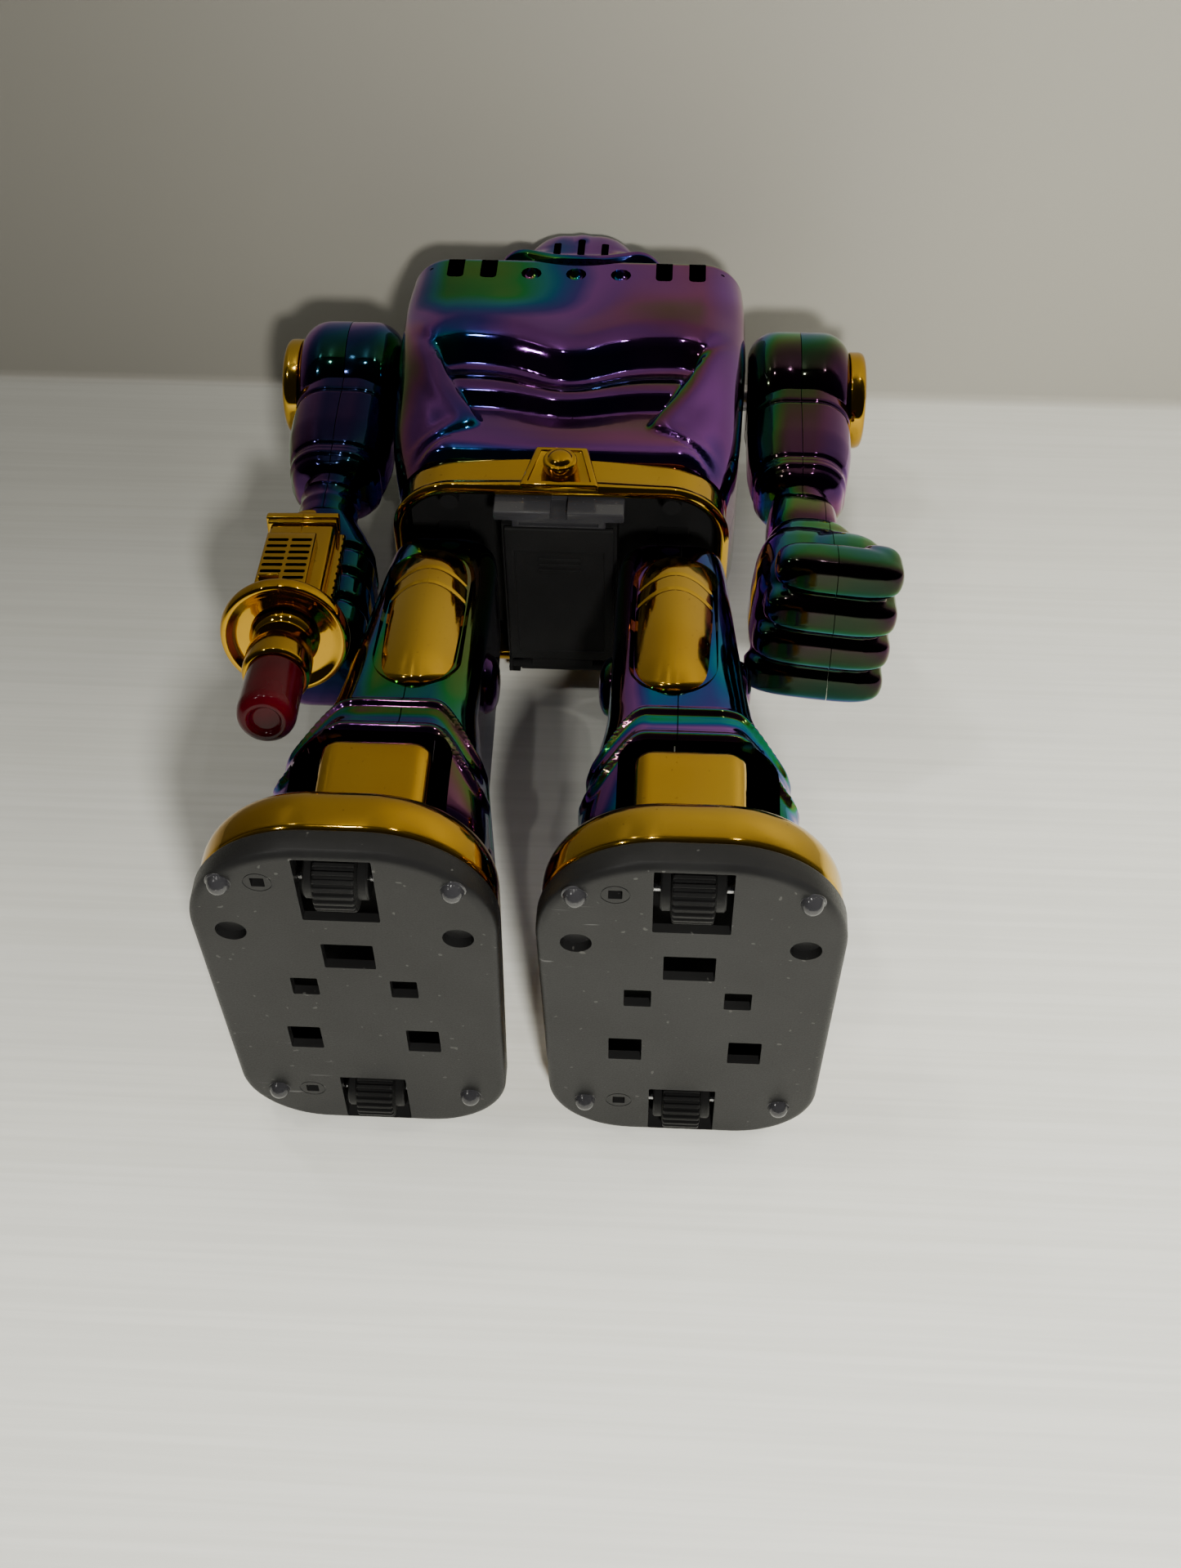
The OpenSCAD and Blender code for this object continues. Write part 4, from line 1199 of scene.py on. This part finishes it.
def make_leg_discs():
    """Turned covers over the knee and ankle pivots, on both sides of each leg."""
    ankle = rounded_profile([(0.01, -1.6), (8.6, -1.6), (8.6, 0.5), (7.8, 1.3), (6.2, 1.5), (5.4, 1.0), (4.2, 1.6), (0.01, 2.0)], 0.5, 4)
    knee = rounded_profile([(0.01, -3.2), (8.2, -3.2), (8.2, 0.8), (7.2, 2.6), (5.0, 3.6), (2.6, 4.0), (0.01, 4.1)], 0.8, 5)
    knee_z = 106
    inner_x, outer_x = LEG_SECTIONS(knee_z)[:2]
    for side, s in (("left", 1), ("right", -1)):
        for name, profile, x, y, z, out in (
            ("ankle_disc_outer", ankle, 63.2, ANKLE.y, ANKLE.z, 1),
            ("ankle_disc_inner", ankle, 11.6, ANKLE.y, ANKLE.z, -1),
            ("knee_disc_outer", knee, outer_x - 0.8, 4, knee_z, 1),
            ("knee_disc_inner", knee, inner_x + 0.6, 4, knee_z, -1),
        ):
            disc = turned_to_x(lathe(f"{side}_{name}", profile, 64), s * x, y, z, s * out < 0)
            place(finish_mesh(disc, 45), side + "_leg", RAINBOW_LIMB, "rainbow_plating")


def make_thigh_plates():
    """Gold capsule plate: a well crowned face with a rolled edge and two arched grooves."""
    low, high = node_box("left_thigh_plate")
    r = (high.x - low.x) / 2
    centre_x = (high.x + low.x) / 2
    z_low, z_high = low.z + r, high.z - r
    middle = (z_low + z_high) / 2
    slope = 6.0 / 34.5

    def crown(x, z):
        across = (x - centre_x) / r
        along = (z - middle) / (high.z - middle)
        return 4.6 * across * across + 1.6 * along * along

    rings = []
    insets = [(0.0, -4.0), (0.0, -1.0), (0.0, 0.6), (0.3, 1.2), (0.8, 1.7), (1.4, 2.0)]
    insets += [(1.4 + (r - 1.45) * k / 32, 2.0 + 1.5 * math.sin(math.pi / 2 * k / 32)) for k in range(1, 33)]
    for inset, height in insets:
        q = r - inset
        ring = []
        outline = arc(centre_x, z_high, q, 0, 180, 48)[:-1]
        outline += [(centre_x - q, z_high + (z_low - z_high) * i / 80) for i in range(80)]
        outline += arc(centre_x, z_low, q, 180, 360, 48)[:-1]
        outline += [(centre_x + q, z_low + (z_high - z_low) * i / 80) for i in range(80)]
        for x, z in outline:
            across = (x - centre_x) / r
            sweep = z + 4.6 * across * across
            groove = 0.42 * (bump(sweep - 129.5, 0.75) + bump(sweep - 122.6, 0.75)) * smoothstep(0.4, 1.6, inset)
            lean = -18.4 + (z - 96) * slope
            ring.append((x, lean - height + crown(x, z) * smoothstep(-1.0, 0.6, height) + groove, z))
        rings.append(ring)
    left = fix_normals(skin("left_thigh_plate_face", rings))
    right = mirrored(left, "right_thigh_plate_face")
    for side, piece in (("left", left), ("right", right)):
        place(finish_mesh(piece, 60), side + "_leg", GOLD, "gold_plating", side + "_thigh_plate")


# ---------------------------------------------------------------- feet

FOOT_X = 38
TOE_R = 28
HEEL_R = 20
sole_low, sole_high = node_box("left_sole")
SOLE_Z = sole_low.z
TRAY_TOP = sole_high.z
FOOT_HALF = (sole_high.x - sole_low.x) / 2
FOOT_END = sole_high.y


def sole_ring(inset, n=18):
    """Outline of a sole round its middle: a wide round toe and a slightly narrower heel."""
    half, end = FOOT_HALF, FOOT_END
    made = arc(half - TOE_R, -end + TOE_R, TOE_R - inset, 270, 360, n)
    made += [(half - inset - 1.3 * t, -end + TOE_R + (2 * end - TOE_R - HEEL_R) * t) for t in (0.2, 0.4, 0.6, 0.8)]
    made += arc(half - 1.3 - HEEL_R, end - HEEL_R, HEEL_R - inset, 0, 90, n)
    made += arc(-half + 1.3 + HEEL_R, end - HEEL_R, HEEL_R - inset, 90, 180, n)
    made += [(-half + inset + 1.3 * (1 - t), -end + TOE_R + (2 * end - TOE_R - HEEL_R) * (1 - t)) for t in (0.2, 0.4, 0.6, 0.8)]
    made += arc(-half + TOE_R, -end + TOE_R, TOE_R - inset, 180, 270, n)
    return made


def foot_skin(name, levels):
    rings = [[(x + FOOT_X, y, z) for x, y in sole_ring(inset)] for inset, z in levels]
    return fix_normals(skin(name, rings))


def quarter(inset, z, reach, rise, steps=6, under=False):
    """Levels of a rounded edge that starts upright and ends flat."""
    made = []
    for i in range(1, steps + 1):
        a = math.radians(90 * i / steps)
        if under:
            a = math.radians(90) - a
            made.append((inset + reach * (1 - math.cos(a)), z + rise * (1 - math.sin(a))))
        else:
            made.append((inset + reach * (1 - math.cos(a)), z + rise * math.sin(a)))
    return made


def make_soles():
    """Black tray with a rounded edge, roller slots, sockets, moulding holes and ejector rings."""
    levels = [(6.0, SOLE_Z), (2.2, SOLE_Z)]
    levels += [(1.9 - 1.9 * math.sin(math.radians(a)), SOLE_Z + 1.9 - 1.9 * math.cos(math.radians(a))) for a in range(10, 91, 16)]
    levels += [(0, SOLE_Z + 3.4), (0, TRAY_TOP - 0.8), (0.25, TRAY_TOP - 0.3), (0.8, TRAY_TOP), (3.0, TRAY_TOP)]
    tray = foot_skin("tray", levels)
    boolean(tray, foot_skin("inside", [(2.4, SOLE_Z + 2.4), (2.4, TRAY_TOP + 2)]))

    def cut_box(x0, x1, y0, y1, round_by=0.35):
        boolean(tray, box_piece("cut", FOOT_X + x0, FOOT_X + x1, y0, y1, SOLE_Z - 2, SOLE_Z + 4, round_by, 2))

    cut_box(-8.5, 8.5, -FOOT_END + 2, -32.5)
    cut_box(-8.1, 8.1, 35.6, 55)
    cut_box(-5.8, 5.8, -23.2, -13.8)
    for s in (-1, 1):
        cut_box(s * 11.4 - 3.1, s * 11.4 + 3.1, -9, -2.2)
        cut_box(s * 14.1 - 3.9, s * 14.1 + 3.9, 12.3, 21.7)
    cut_box(-18, -15, -47.5, -44.5, 0.2)
    cut_box(-17, -14, 40, 43, 0.2)
    for s in (-1, 1):
        hole = lathe("hole", [(0.01, -3), (3.5, -3), (3.5, 12), (0.01, 12)], 48)
        hole.data.transform(Matrix.Translation(Vector((FOOT_X + s * 25.1, -27.3, SOLE_Z)) * MM))
        boolean(tray, hole)
    for x, y in ((-16.5, -46), (-15.5, 41.5)):
        ring = lathe("ring", [(2.95, -1), (3.2, -1), (3.2, 0.12), (2.95, 0.12), (2.95, -1)], 48)
        ring.data.transform(Matrix.Translation(Vector((FOOT_X + x, y, SOLE_Z)) * MM))
        boolean(tray, ring)
    sockets = []
    for s in (-1, 1):
        tube = lathe("tube", [(3.5, 2.4), (5.0, 2.4), (5.0, 6.9), (3.5, 6.9), (3.5, 2.4)], 48)
        tube.data.transform(Matrix.Translation(Vector((FOOT_X + s * 25.1, -27.3, SOLE_Z)) * MM))
        sockets.append(tube)
    for y in (-43.6, 46.2):
        for s in (-1, 1):
            sockets.append(box_piece("lug", FOOT_X + s * 10.6 - 1.4, FOOT_X + s * 10.6 + 1.4, y - 4, y + 4, SOLE_Z + 2.4, TRAY_TOP - 0.2, 0.4))
    for part in ("tray",):
        left = join("left_sole_tray", [tray] + sockets)
    right = mirrored(left, "right_sole_tray")
    right.data.transform(Matrix.Diagonal((-1, 1, 1, 1)))
    right.data.flip_normals()
    right.data.transform(Matrix.Translation(Vector((-2 * FOOT_X, 0, 0)) * MM))
    for side, piece in (("left", left), ("right", right)):
        place(finish_mesh(piece, 35), side + "_foot", SOLE_BLACK, "black_plastic", side + "_sole")


def make_studs():
    """Glossy domed studs under each sole."""
    dome = [(0.01, -2.7), (0.9, -2.55), (1.7, -2.05), (2.25, -1.3), (2.5, -0.5), (2.6, 0.0), (3.0, 0.15), (3.0, 0.6), (0.01, 0.6)]
    for side, s in (("left", 1), ("right", -1)):
        made = []
        for x, y in ((-25, -45.2), (25, -45.2), (-23.8, 42), (23.8, 42)):
            stud = lathe("stud", rounded_profile(dome, 0.3), 40)
            stud.data.transform(Matrix.Translation(Vector((s * FOOT_X + x, y, SOLE_Z)) * MM))
            made.append(stud)
        piece = join(side + "_sole_studs", made)
        place(finish_mesh(piece, 60), side + "_foot", GLOSS_BLACK, "black_gloss", side + "_studs")


def make_shoes():
    """Gold shoe upper: upright wall, a deep rounded top edge, a hollow underside and a black inner floor."""
    low, high = node_box("left_shoe")
    top = high.z
    levels = [(3.0, TRAY_TOP), (1.4, TRAY_TOP), (0.9, TRAY_TOP + 0.4), (0.7, TRAY_TOP + 2), (0.7, TRAY_TOP + 5.5)]
    levels += quarter(0.7, TRAY_TOP + 5.5, 8.2, top - TRAY_TOP - 5.7, 12)
    levels += [(10.5, top - 0.05), (14, top)]
    left = foot_skin("left_shoe_upper", levels)
    boolean(left, foot_skin("hollow", [(3.2, TRAY_TOP - 1), (3.4, TRAY_TOP + 6), (10, top - 2.6)]), inner=True)
    right = mirrored(left, "right_shoe_upper")
    for side, piece in (("left", left), ("right", right)):
        place(finish_mesh(piece, 45), side + "_foot", GOLD, "gold_plating", side + "_shoe")
    floor = foot_skin("left_inner_floor", [(6.2, 17.0), (5.8, 17.2), (5.8, 18.0), (6.2, 18.2)])
    for side, piece in (("left", floor), ("right", mirrored(floor, "right_inner_floor"))):
        place(finish_mesh(piece), side + "_foot", INSIDE, "black_plastic")


def make_ankle_blocks():
    """Gold block on each shoe, with generous rounded edges, a welt at its foot and a bore for the ankle pin."""
    low, high = node_box("left_ankle_block")
    rings = []
    top = high.z
    levels = [(-0.9, low.z - 0.1), (-0.9, low.z + 0.5), (-0.4, low.z + 1.3), (0, low.z + 2.0)]
    levels += [(0, z) for z in spaced(low.z + 4, top - 6, 4)]
    levels += [(3.2 * (1 - math.cos(math.radians(a))), top - 4 + 4 * math.sin(math.radians(a))) for a in range(8, 91, 9)]
    levels += [(5, top)]
    for inset, z in levels:
        rings.append([(x, y, z) for x, y, _, _ in ring_rect(low.x + inset, high.x - inset, low.y + inset, high.y - inset, 3.6, (20, 8, 30))])
    left = fix_normals(skin("left_ankle_block_body", rings))
    boolean(left, rod("bore", 0, 80, ANKLE.y, ANKLE.z, 3.1))
    right = mirrored(left, "right_ankle_block_body")
    for side, piece in (("left", left), ("right", right)):
        place(finish_mesh(piece, 50), side + "_foot", GOLD, "gold_plating", side + "_ankle_block")


def make_wheels():
    """Ribbed roller with plain stepped collars."""
    teeth = 26

    def tread(angle, i):
        wave = 0.5 + 0.5 * math.cos(teeth * angle)
        return -0.75 * (1 - smoothstep(0.25, 0.6, wave)) if 6 <= i <= 11 else 0.0

    r = 8.0
    profile = [
        (1.4, -7.0), (4.9, -7.0), (5.3, -6.6), (5.3, -4.9), (6.4, -4.7), (7.3, -4.5),
        (r - 0.25, -4.4), (r, -4.0), (r, -1.4), (r, 1.4), (r, 4.0), (r - 0.25, 4.4),
        (7.3, 4.5), (6.4, 4.7), (5.3, 4.9), (5.3, 6.6), (4.9, 7.0), (1.4, 7.0),
    ]
    for side, s in (("left", 1), ("right", -1)):
        for end, y in (("front", -43.6), ("rear", 46.2)):
            wheel = lathe(f"{side}_{end}_roller", profile, 312, tread)
            turned_to_x(wheel, s * FOOT_X, y, r)
            place(finish_mesh(wheel, 30), f"{side}_{end}_wheel", BLACK, "black_plastic", f"{side}_{end}_wheel")


# ---------------------------------------------------------------- stage, light and camera

def one_sided(name, colour_a, colour_b, wall=None):
    """Pale stage surface that shows only from its front, with a greyer wall beyond the head. Given a wall colour, it
    also paints shade on the floor: greying towards the wall and darkening towards -X.
    """
    n = Nodes(name)
    lines = n.noise(60.0, 3.0, 0.5, stretch=(0.15, 1.0, 9.0))
    colour = n.mix(n.spread(lines, 0.3, 0.7), colour_a, colour_b)
    if wall:
        place_axes = n.add("ShaderNodeSeparateXYZ")
        n.join(n.place, place_axes.inputs[0])
        # Painted shade: the floor greys by up to 35 % towards the wall colour as it nears the wall. The next mix gives
        # the wall itself its own grey.
        painted_falloff_shade = n.spread(place_axes.outputs["Z"], 0.10, 0.288, 0.0, 0.35)
        colour = n.mix(painted_falloff_shade, colour, wall)
        colour = n.mix(n.spread(place_axes.outputs["Z"], 0.287, 0.2905), colour, wall)
        # Painted shadow: the stage darkens towards -X, to 0.42 of its colour at the far side, and more so the nearer it
        # is to the wall.
        painted_shadow_left = n.spread(place_axes.outputs["X"], -0.22, 0.16, 0.42, 1.0)
        shade = n.mix(1.0, colour, painted_shadow_left, "MULTIPLY")
        colour = n.mix(n.spread(place_axes.outputs["Z"], -0.05, 0.24), colour, shade)
    n.bumps((lines, 0.15, 0.3))
    n.set(Base_Color=colour, Roughness=0.45)
    clear = n.add("ShaderNodeBsdfTransparent")
    either = n.add("ShaderNodeMixShader")
    n.join(n.add("ShaderNodeNewGeometry").outputs["Backfacing"], either.inputs[0])
    n.join(n.shader.outputs[0], either.inputs[1])
    n.join(clear.outputs[0], either.inputs[2])
    n.join(either.outputs[0], n.tree.nodes["Material Output"].inputs["Surface"])
    return n.material


def make_stage():
    """Pale floor that the robot lies on, curving up into a wall beyond its head, and ground under its soles."""
    back = cad_box[1].y / MM + 0.3
    wall_z = 291
    radius = 3
    width = 1500
    profile = [(back, -1500), (back, wall_z - radius)]
    profile += [(back - radius * (1 - math.cos(math.radians(a))), wall_z - radius + radius * math.sin(math.radians(a))) for a in range(10, 91, 10)]
    profile += [(-1500, wall_z)]
    points = [(x, y, z) for y, z in profile for x in (-width, width)]
    faces = [(2 * i, 2 * i + 2, 2 * i + 3, 2 * i + 1) for i in range(len(profile) - 1)]
    sheet = from_points("floor_sheet", points, faces)
    if sheet.data.polygons[0].normal.y > 0:
        sheet.data.flip_normals()
    # The third colour is the wall's own grey, which one_sided also blends into the floor as painted shade.
    sheet.data.materials.append(one_sided("pale_floor", (0.69, 0.70, 0.64), (0.75, 0.76, 0.70), (0.36, 0.35, 0.30)))
    finish_mesh(sheet, 60)
    ground = from_points("ground", [(-3000, -3000, -0.2), (3000, -3000, -0.2), (3000, 3000, -0.2), (-3000, 3000, -0.2)], [(0, 1, 2, 3)])
    ground.data.materials.append(one_sided("pale_ground", (0.72, 0.71, 0.68), (0.75, 0.74, 0.71)))
    for ray in ("visible_glossy", "visible_shadow", "visible_diffuse", "visible_transmission"):
        setattr(ground, ray, False)
    sheet.visible_shadow = False


def make_world():
    """Room seen in the reflections: pale beyond the head, dim overhead."""
    world = bpy.data.worlds.new("room")
    scene.world = world
    world.use_nodes = True
    tree = world.node_tree
    nodes, links = tree.nodes, tree.links
    background = nodes["Background"]
    coordinates = nodes.new("ShaderNodeTexCoord")
    split = nodes.new("ShaderNodeSeparateXYZ")
    links.new(coordinates.outputs["Generated"], split.inputs[0])
    ramp = nodes.new("ShaderNodeValToRGB")
    ramp.color_ramp.elements[0].position = 0.30
    ramp.color_ramp.elements[0].color = (0.015, 0.015, 0.016, 1)
    ramp.color_ramp.elements[1].position = 0.80
    ramp.color_ramp.elements[1].color = (0.40, 0.39, 0.35, 1)
    middle = ramp.color_ramp.elements.new(0.52)
    middle.color = (0.045, 0.045, 0.045, 1)
    lift = nodes.new("ShaderNodeMath")
    lift.operation = "MULTIPLY_ADD"
    lift.inputs[1].default_value = 0.5
    lift.inputs[2].default_value = 0.5
    links.new(split.outputs["Z"], lift.inputs[0])
    links.new(lift.outputs[0], ramp.inputs[0])
    behind = nodes.new("ShaderNodeMapRange")
    behind.inputs["From Min"].default_value = 0.05
    behind.inputs["From Max"].default_value = 0.75
    links.new(split.outputs["Y"], behind.inputs["Value"])
    room = nodes.new("ShaderNodeMix")
    room.data_type = "RGBA"
    links.new(behind.outputs[0], room.inputs[0])
    links.new(ramp.outputs[0], room.inputs[6])
    room.inputs[7].default_value = (0.34, 0.33, 0.31, 1)
    path = nodes.new("ShaderNodeLightPath")
    mix = nodes.new("ShaderNodeMix")
    mix.data_type = "RGBA"
    links.new(path.outputs["Is Camera Ray"], mix.inputs[0])
    links.new(room.outputs[2], mix.inputs[6])
    mix.inputs[7].default_value = (0.70, 0.69, 0.66, 1)
    links.new(mix.outputs[2], background.inputs[0])
    background.inputs[1].default_value = 1.0


def area_light(name, position, target, size, power, glossy=True):
    lamp = bpy.data.lights.new(name, "AREA")
    lamp.shape = "DISK"
    lamp.size = size * MM
    lamp.energy = power
    lamp.color = (1.0, 0.97, 0.92)
    piece = bpy.data.objects.new(name, lamp)
    piece.location = Vector(position) * MM
    aim = (Vector(target) - Vector(position)).normalized()
    piece.rotation_mode = "QUATERNION"
    piece.rotation_quaternion = aim.to_track_quat("-Z", "Y")
    piece.visible_glossy = glossy
    scene.collection.objects.link(piece)


def make_lights():
    """Ceiling lamps that sparkle in the plating and cast soft shadows, and fills that the plating doesn't mirror."""
    middle = (0, 0, 130)
    for i, (x, y, z) in enumerate(((-420, -900, 330), (-180, -1050, 120), (-520, -760, -60), (260, -1000, 260))):
        area_light(f"ceiling_lamp_{i}", (x, y, z), middle, 30, 0.7 if i < 3 else 0.35)
    area_light("near_lamp", (110, -400, -430), (40, 20, 20), 60, 6.4, False)
    area_light("soft_right", (420, -330, 60), (80, 40, 60), 300, 1.6, False)
    area_light("shadow_left", (-340, -1000, 30), middle, 110, 2.0, False)
    area_light("soft_back", (500, 1000, 500), middle, 700, 6, False)
    area_light("soft_back_low", (-700, 900, 200), middle, 500, 4, False)


def make_camera():
    """Camera in front of the soles and well forward of the robot, looking up along its body."""
    focal = 2300.0
    dip, yaw, roll, lean = math.radians(51.38), math.radians(-2.33), math.radians(-0.76), 0.018
    ahead = Vector((math.sin(yaw) * math.cos(dip), math.sin(dip), math.cos(yaw) * math.cos(dip)))
    right = Vector((math.cos(yaw), 0, -math.sin(yaw)))
    up = -right.cross(ahead) if right.cross(ahead).y > 0 else right.cross(ahead)
    across = right * math.cos(roll) + up * math.sin(roll)
    upward = up * math.cos(roll) - right * math.sin(roll)
    turn = Matrix(((math.cos(lean), 0, -math.sin(lean)), (0, 1, 0), (math.sin(lean), 0, math.cos(lean))))
    across, upward, ahead = turn @ across, turn @ upward, turn @ ahead
    where = (turn @ Vector((25.9, -351.3, -229.1)) + Vector((0, -18.5, 3.5))) * MM
    lens = bpy.data.cameras.new("camera")
    lens.sensor_width = 36
    lens.lens = focal / 1919 * 36
    lens.clip_start = 0.01
    camera = bpy.data.objects.new("camera", lens)
    camera.matrix_world = Matrix((
        (across.x, upward.x, -ahead.x, where.x),
        (across.y, upward.y, -ahead.y, where.y),
        (across.z, upward.z, -ahead.z, where.z),
        (0, 0, 0, 1),
    ))
    scene.collection.objects.link(camera)
    scene.camera = camera


# ---------------------------------------------------------------- build

dress_cad()
make_chest()
make_belt()
make_pelvis()
make_head()
make_arm_shells()
make_shoulder_discs()
make_fist()
make_right_hand()
make_gun()
make_legs()
make_leg_discs()
make_thigh_plates()
make_soles()
make_studs()
make_shoes()
make_ankle_blocks()
make_wheels()
make_stage()
make_world()
make_lights()
make_camera()
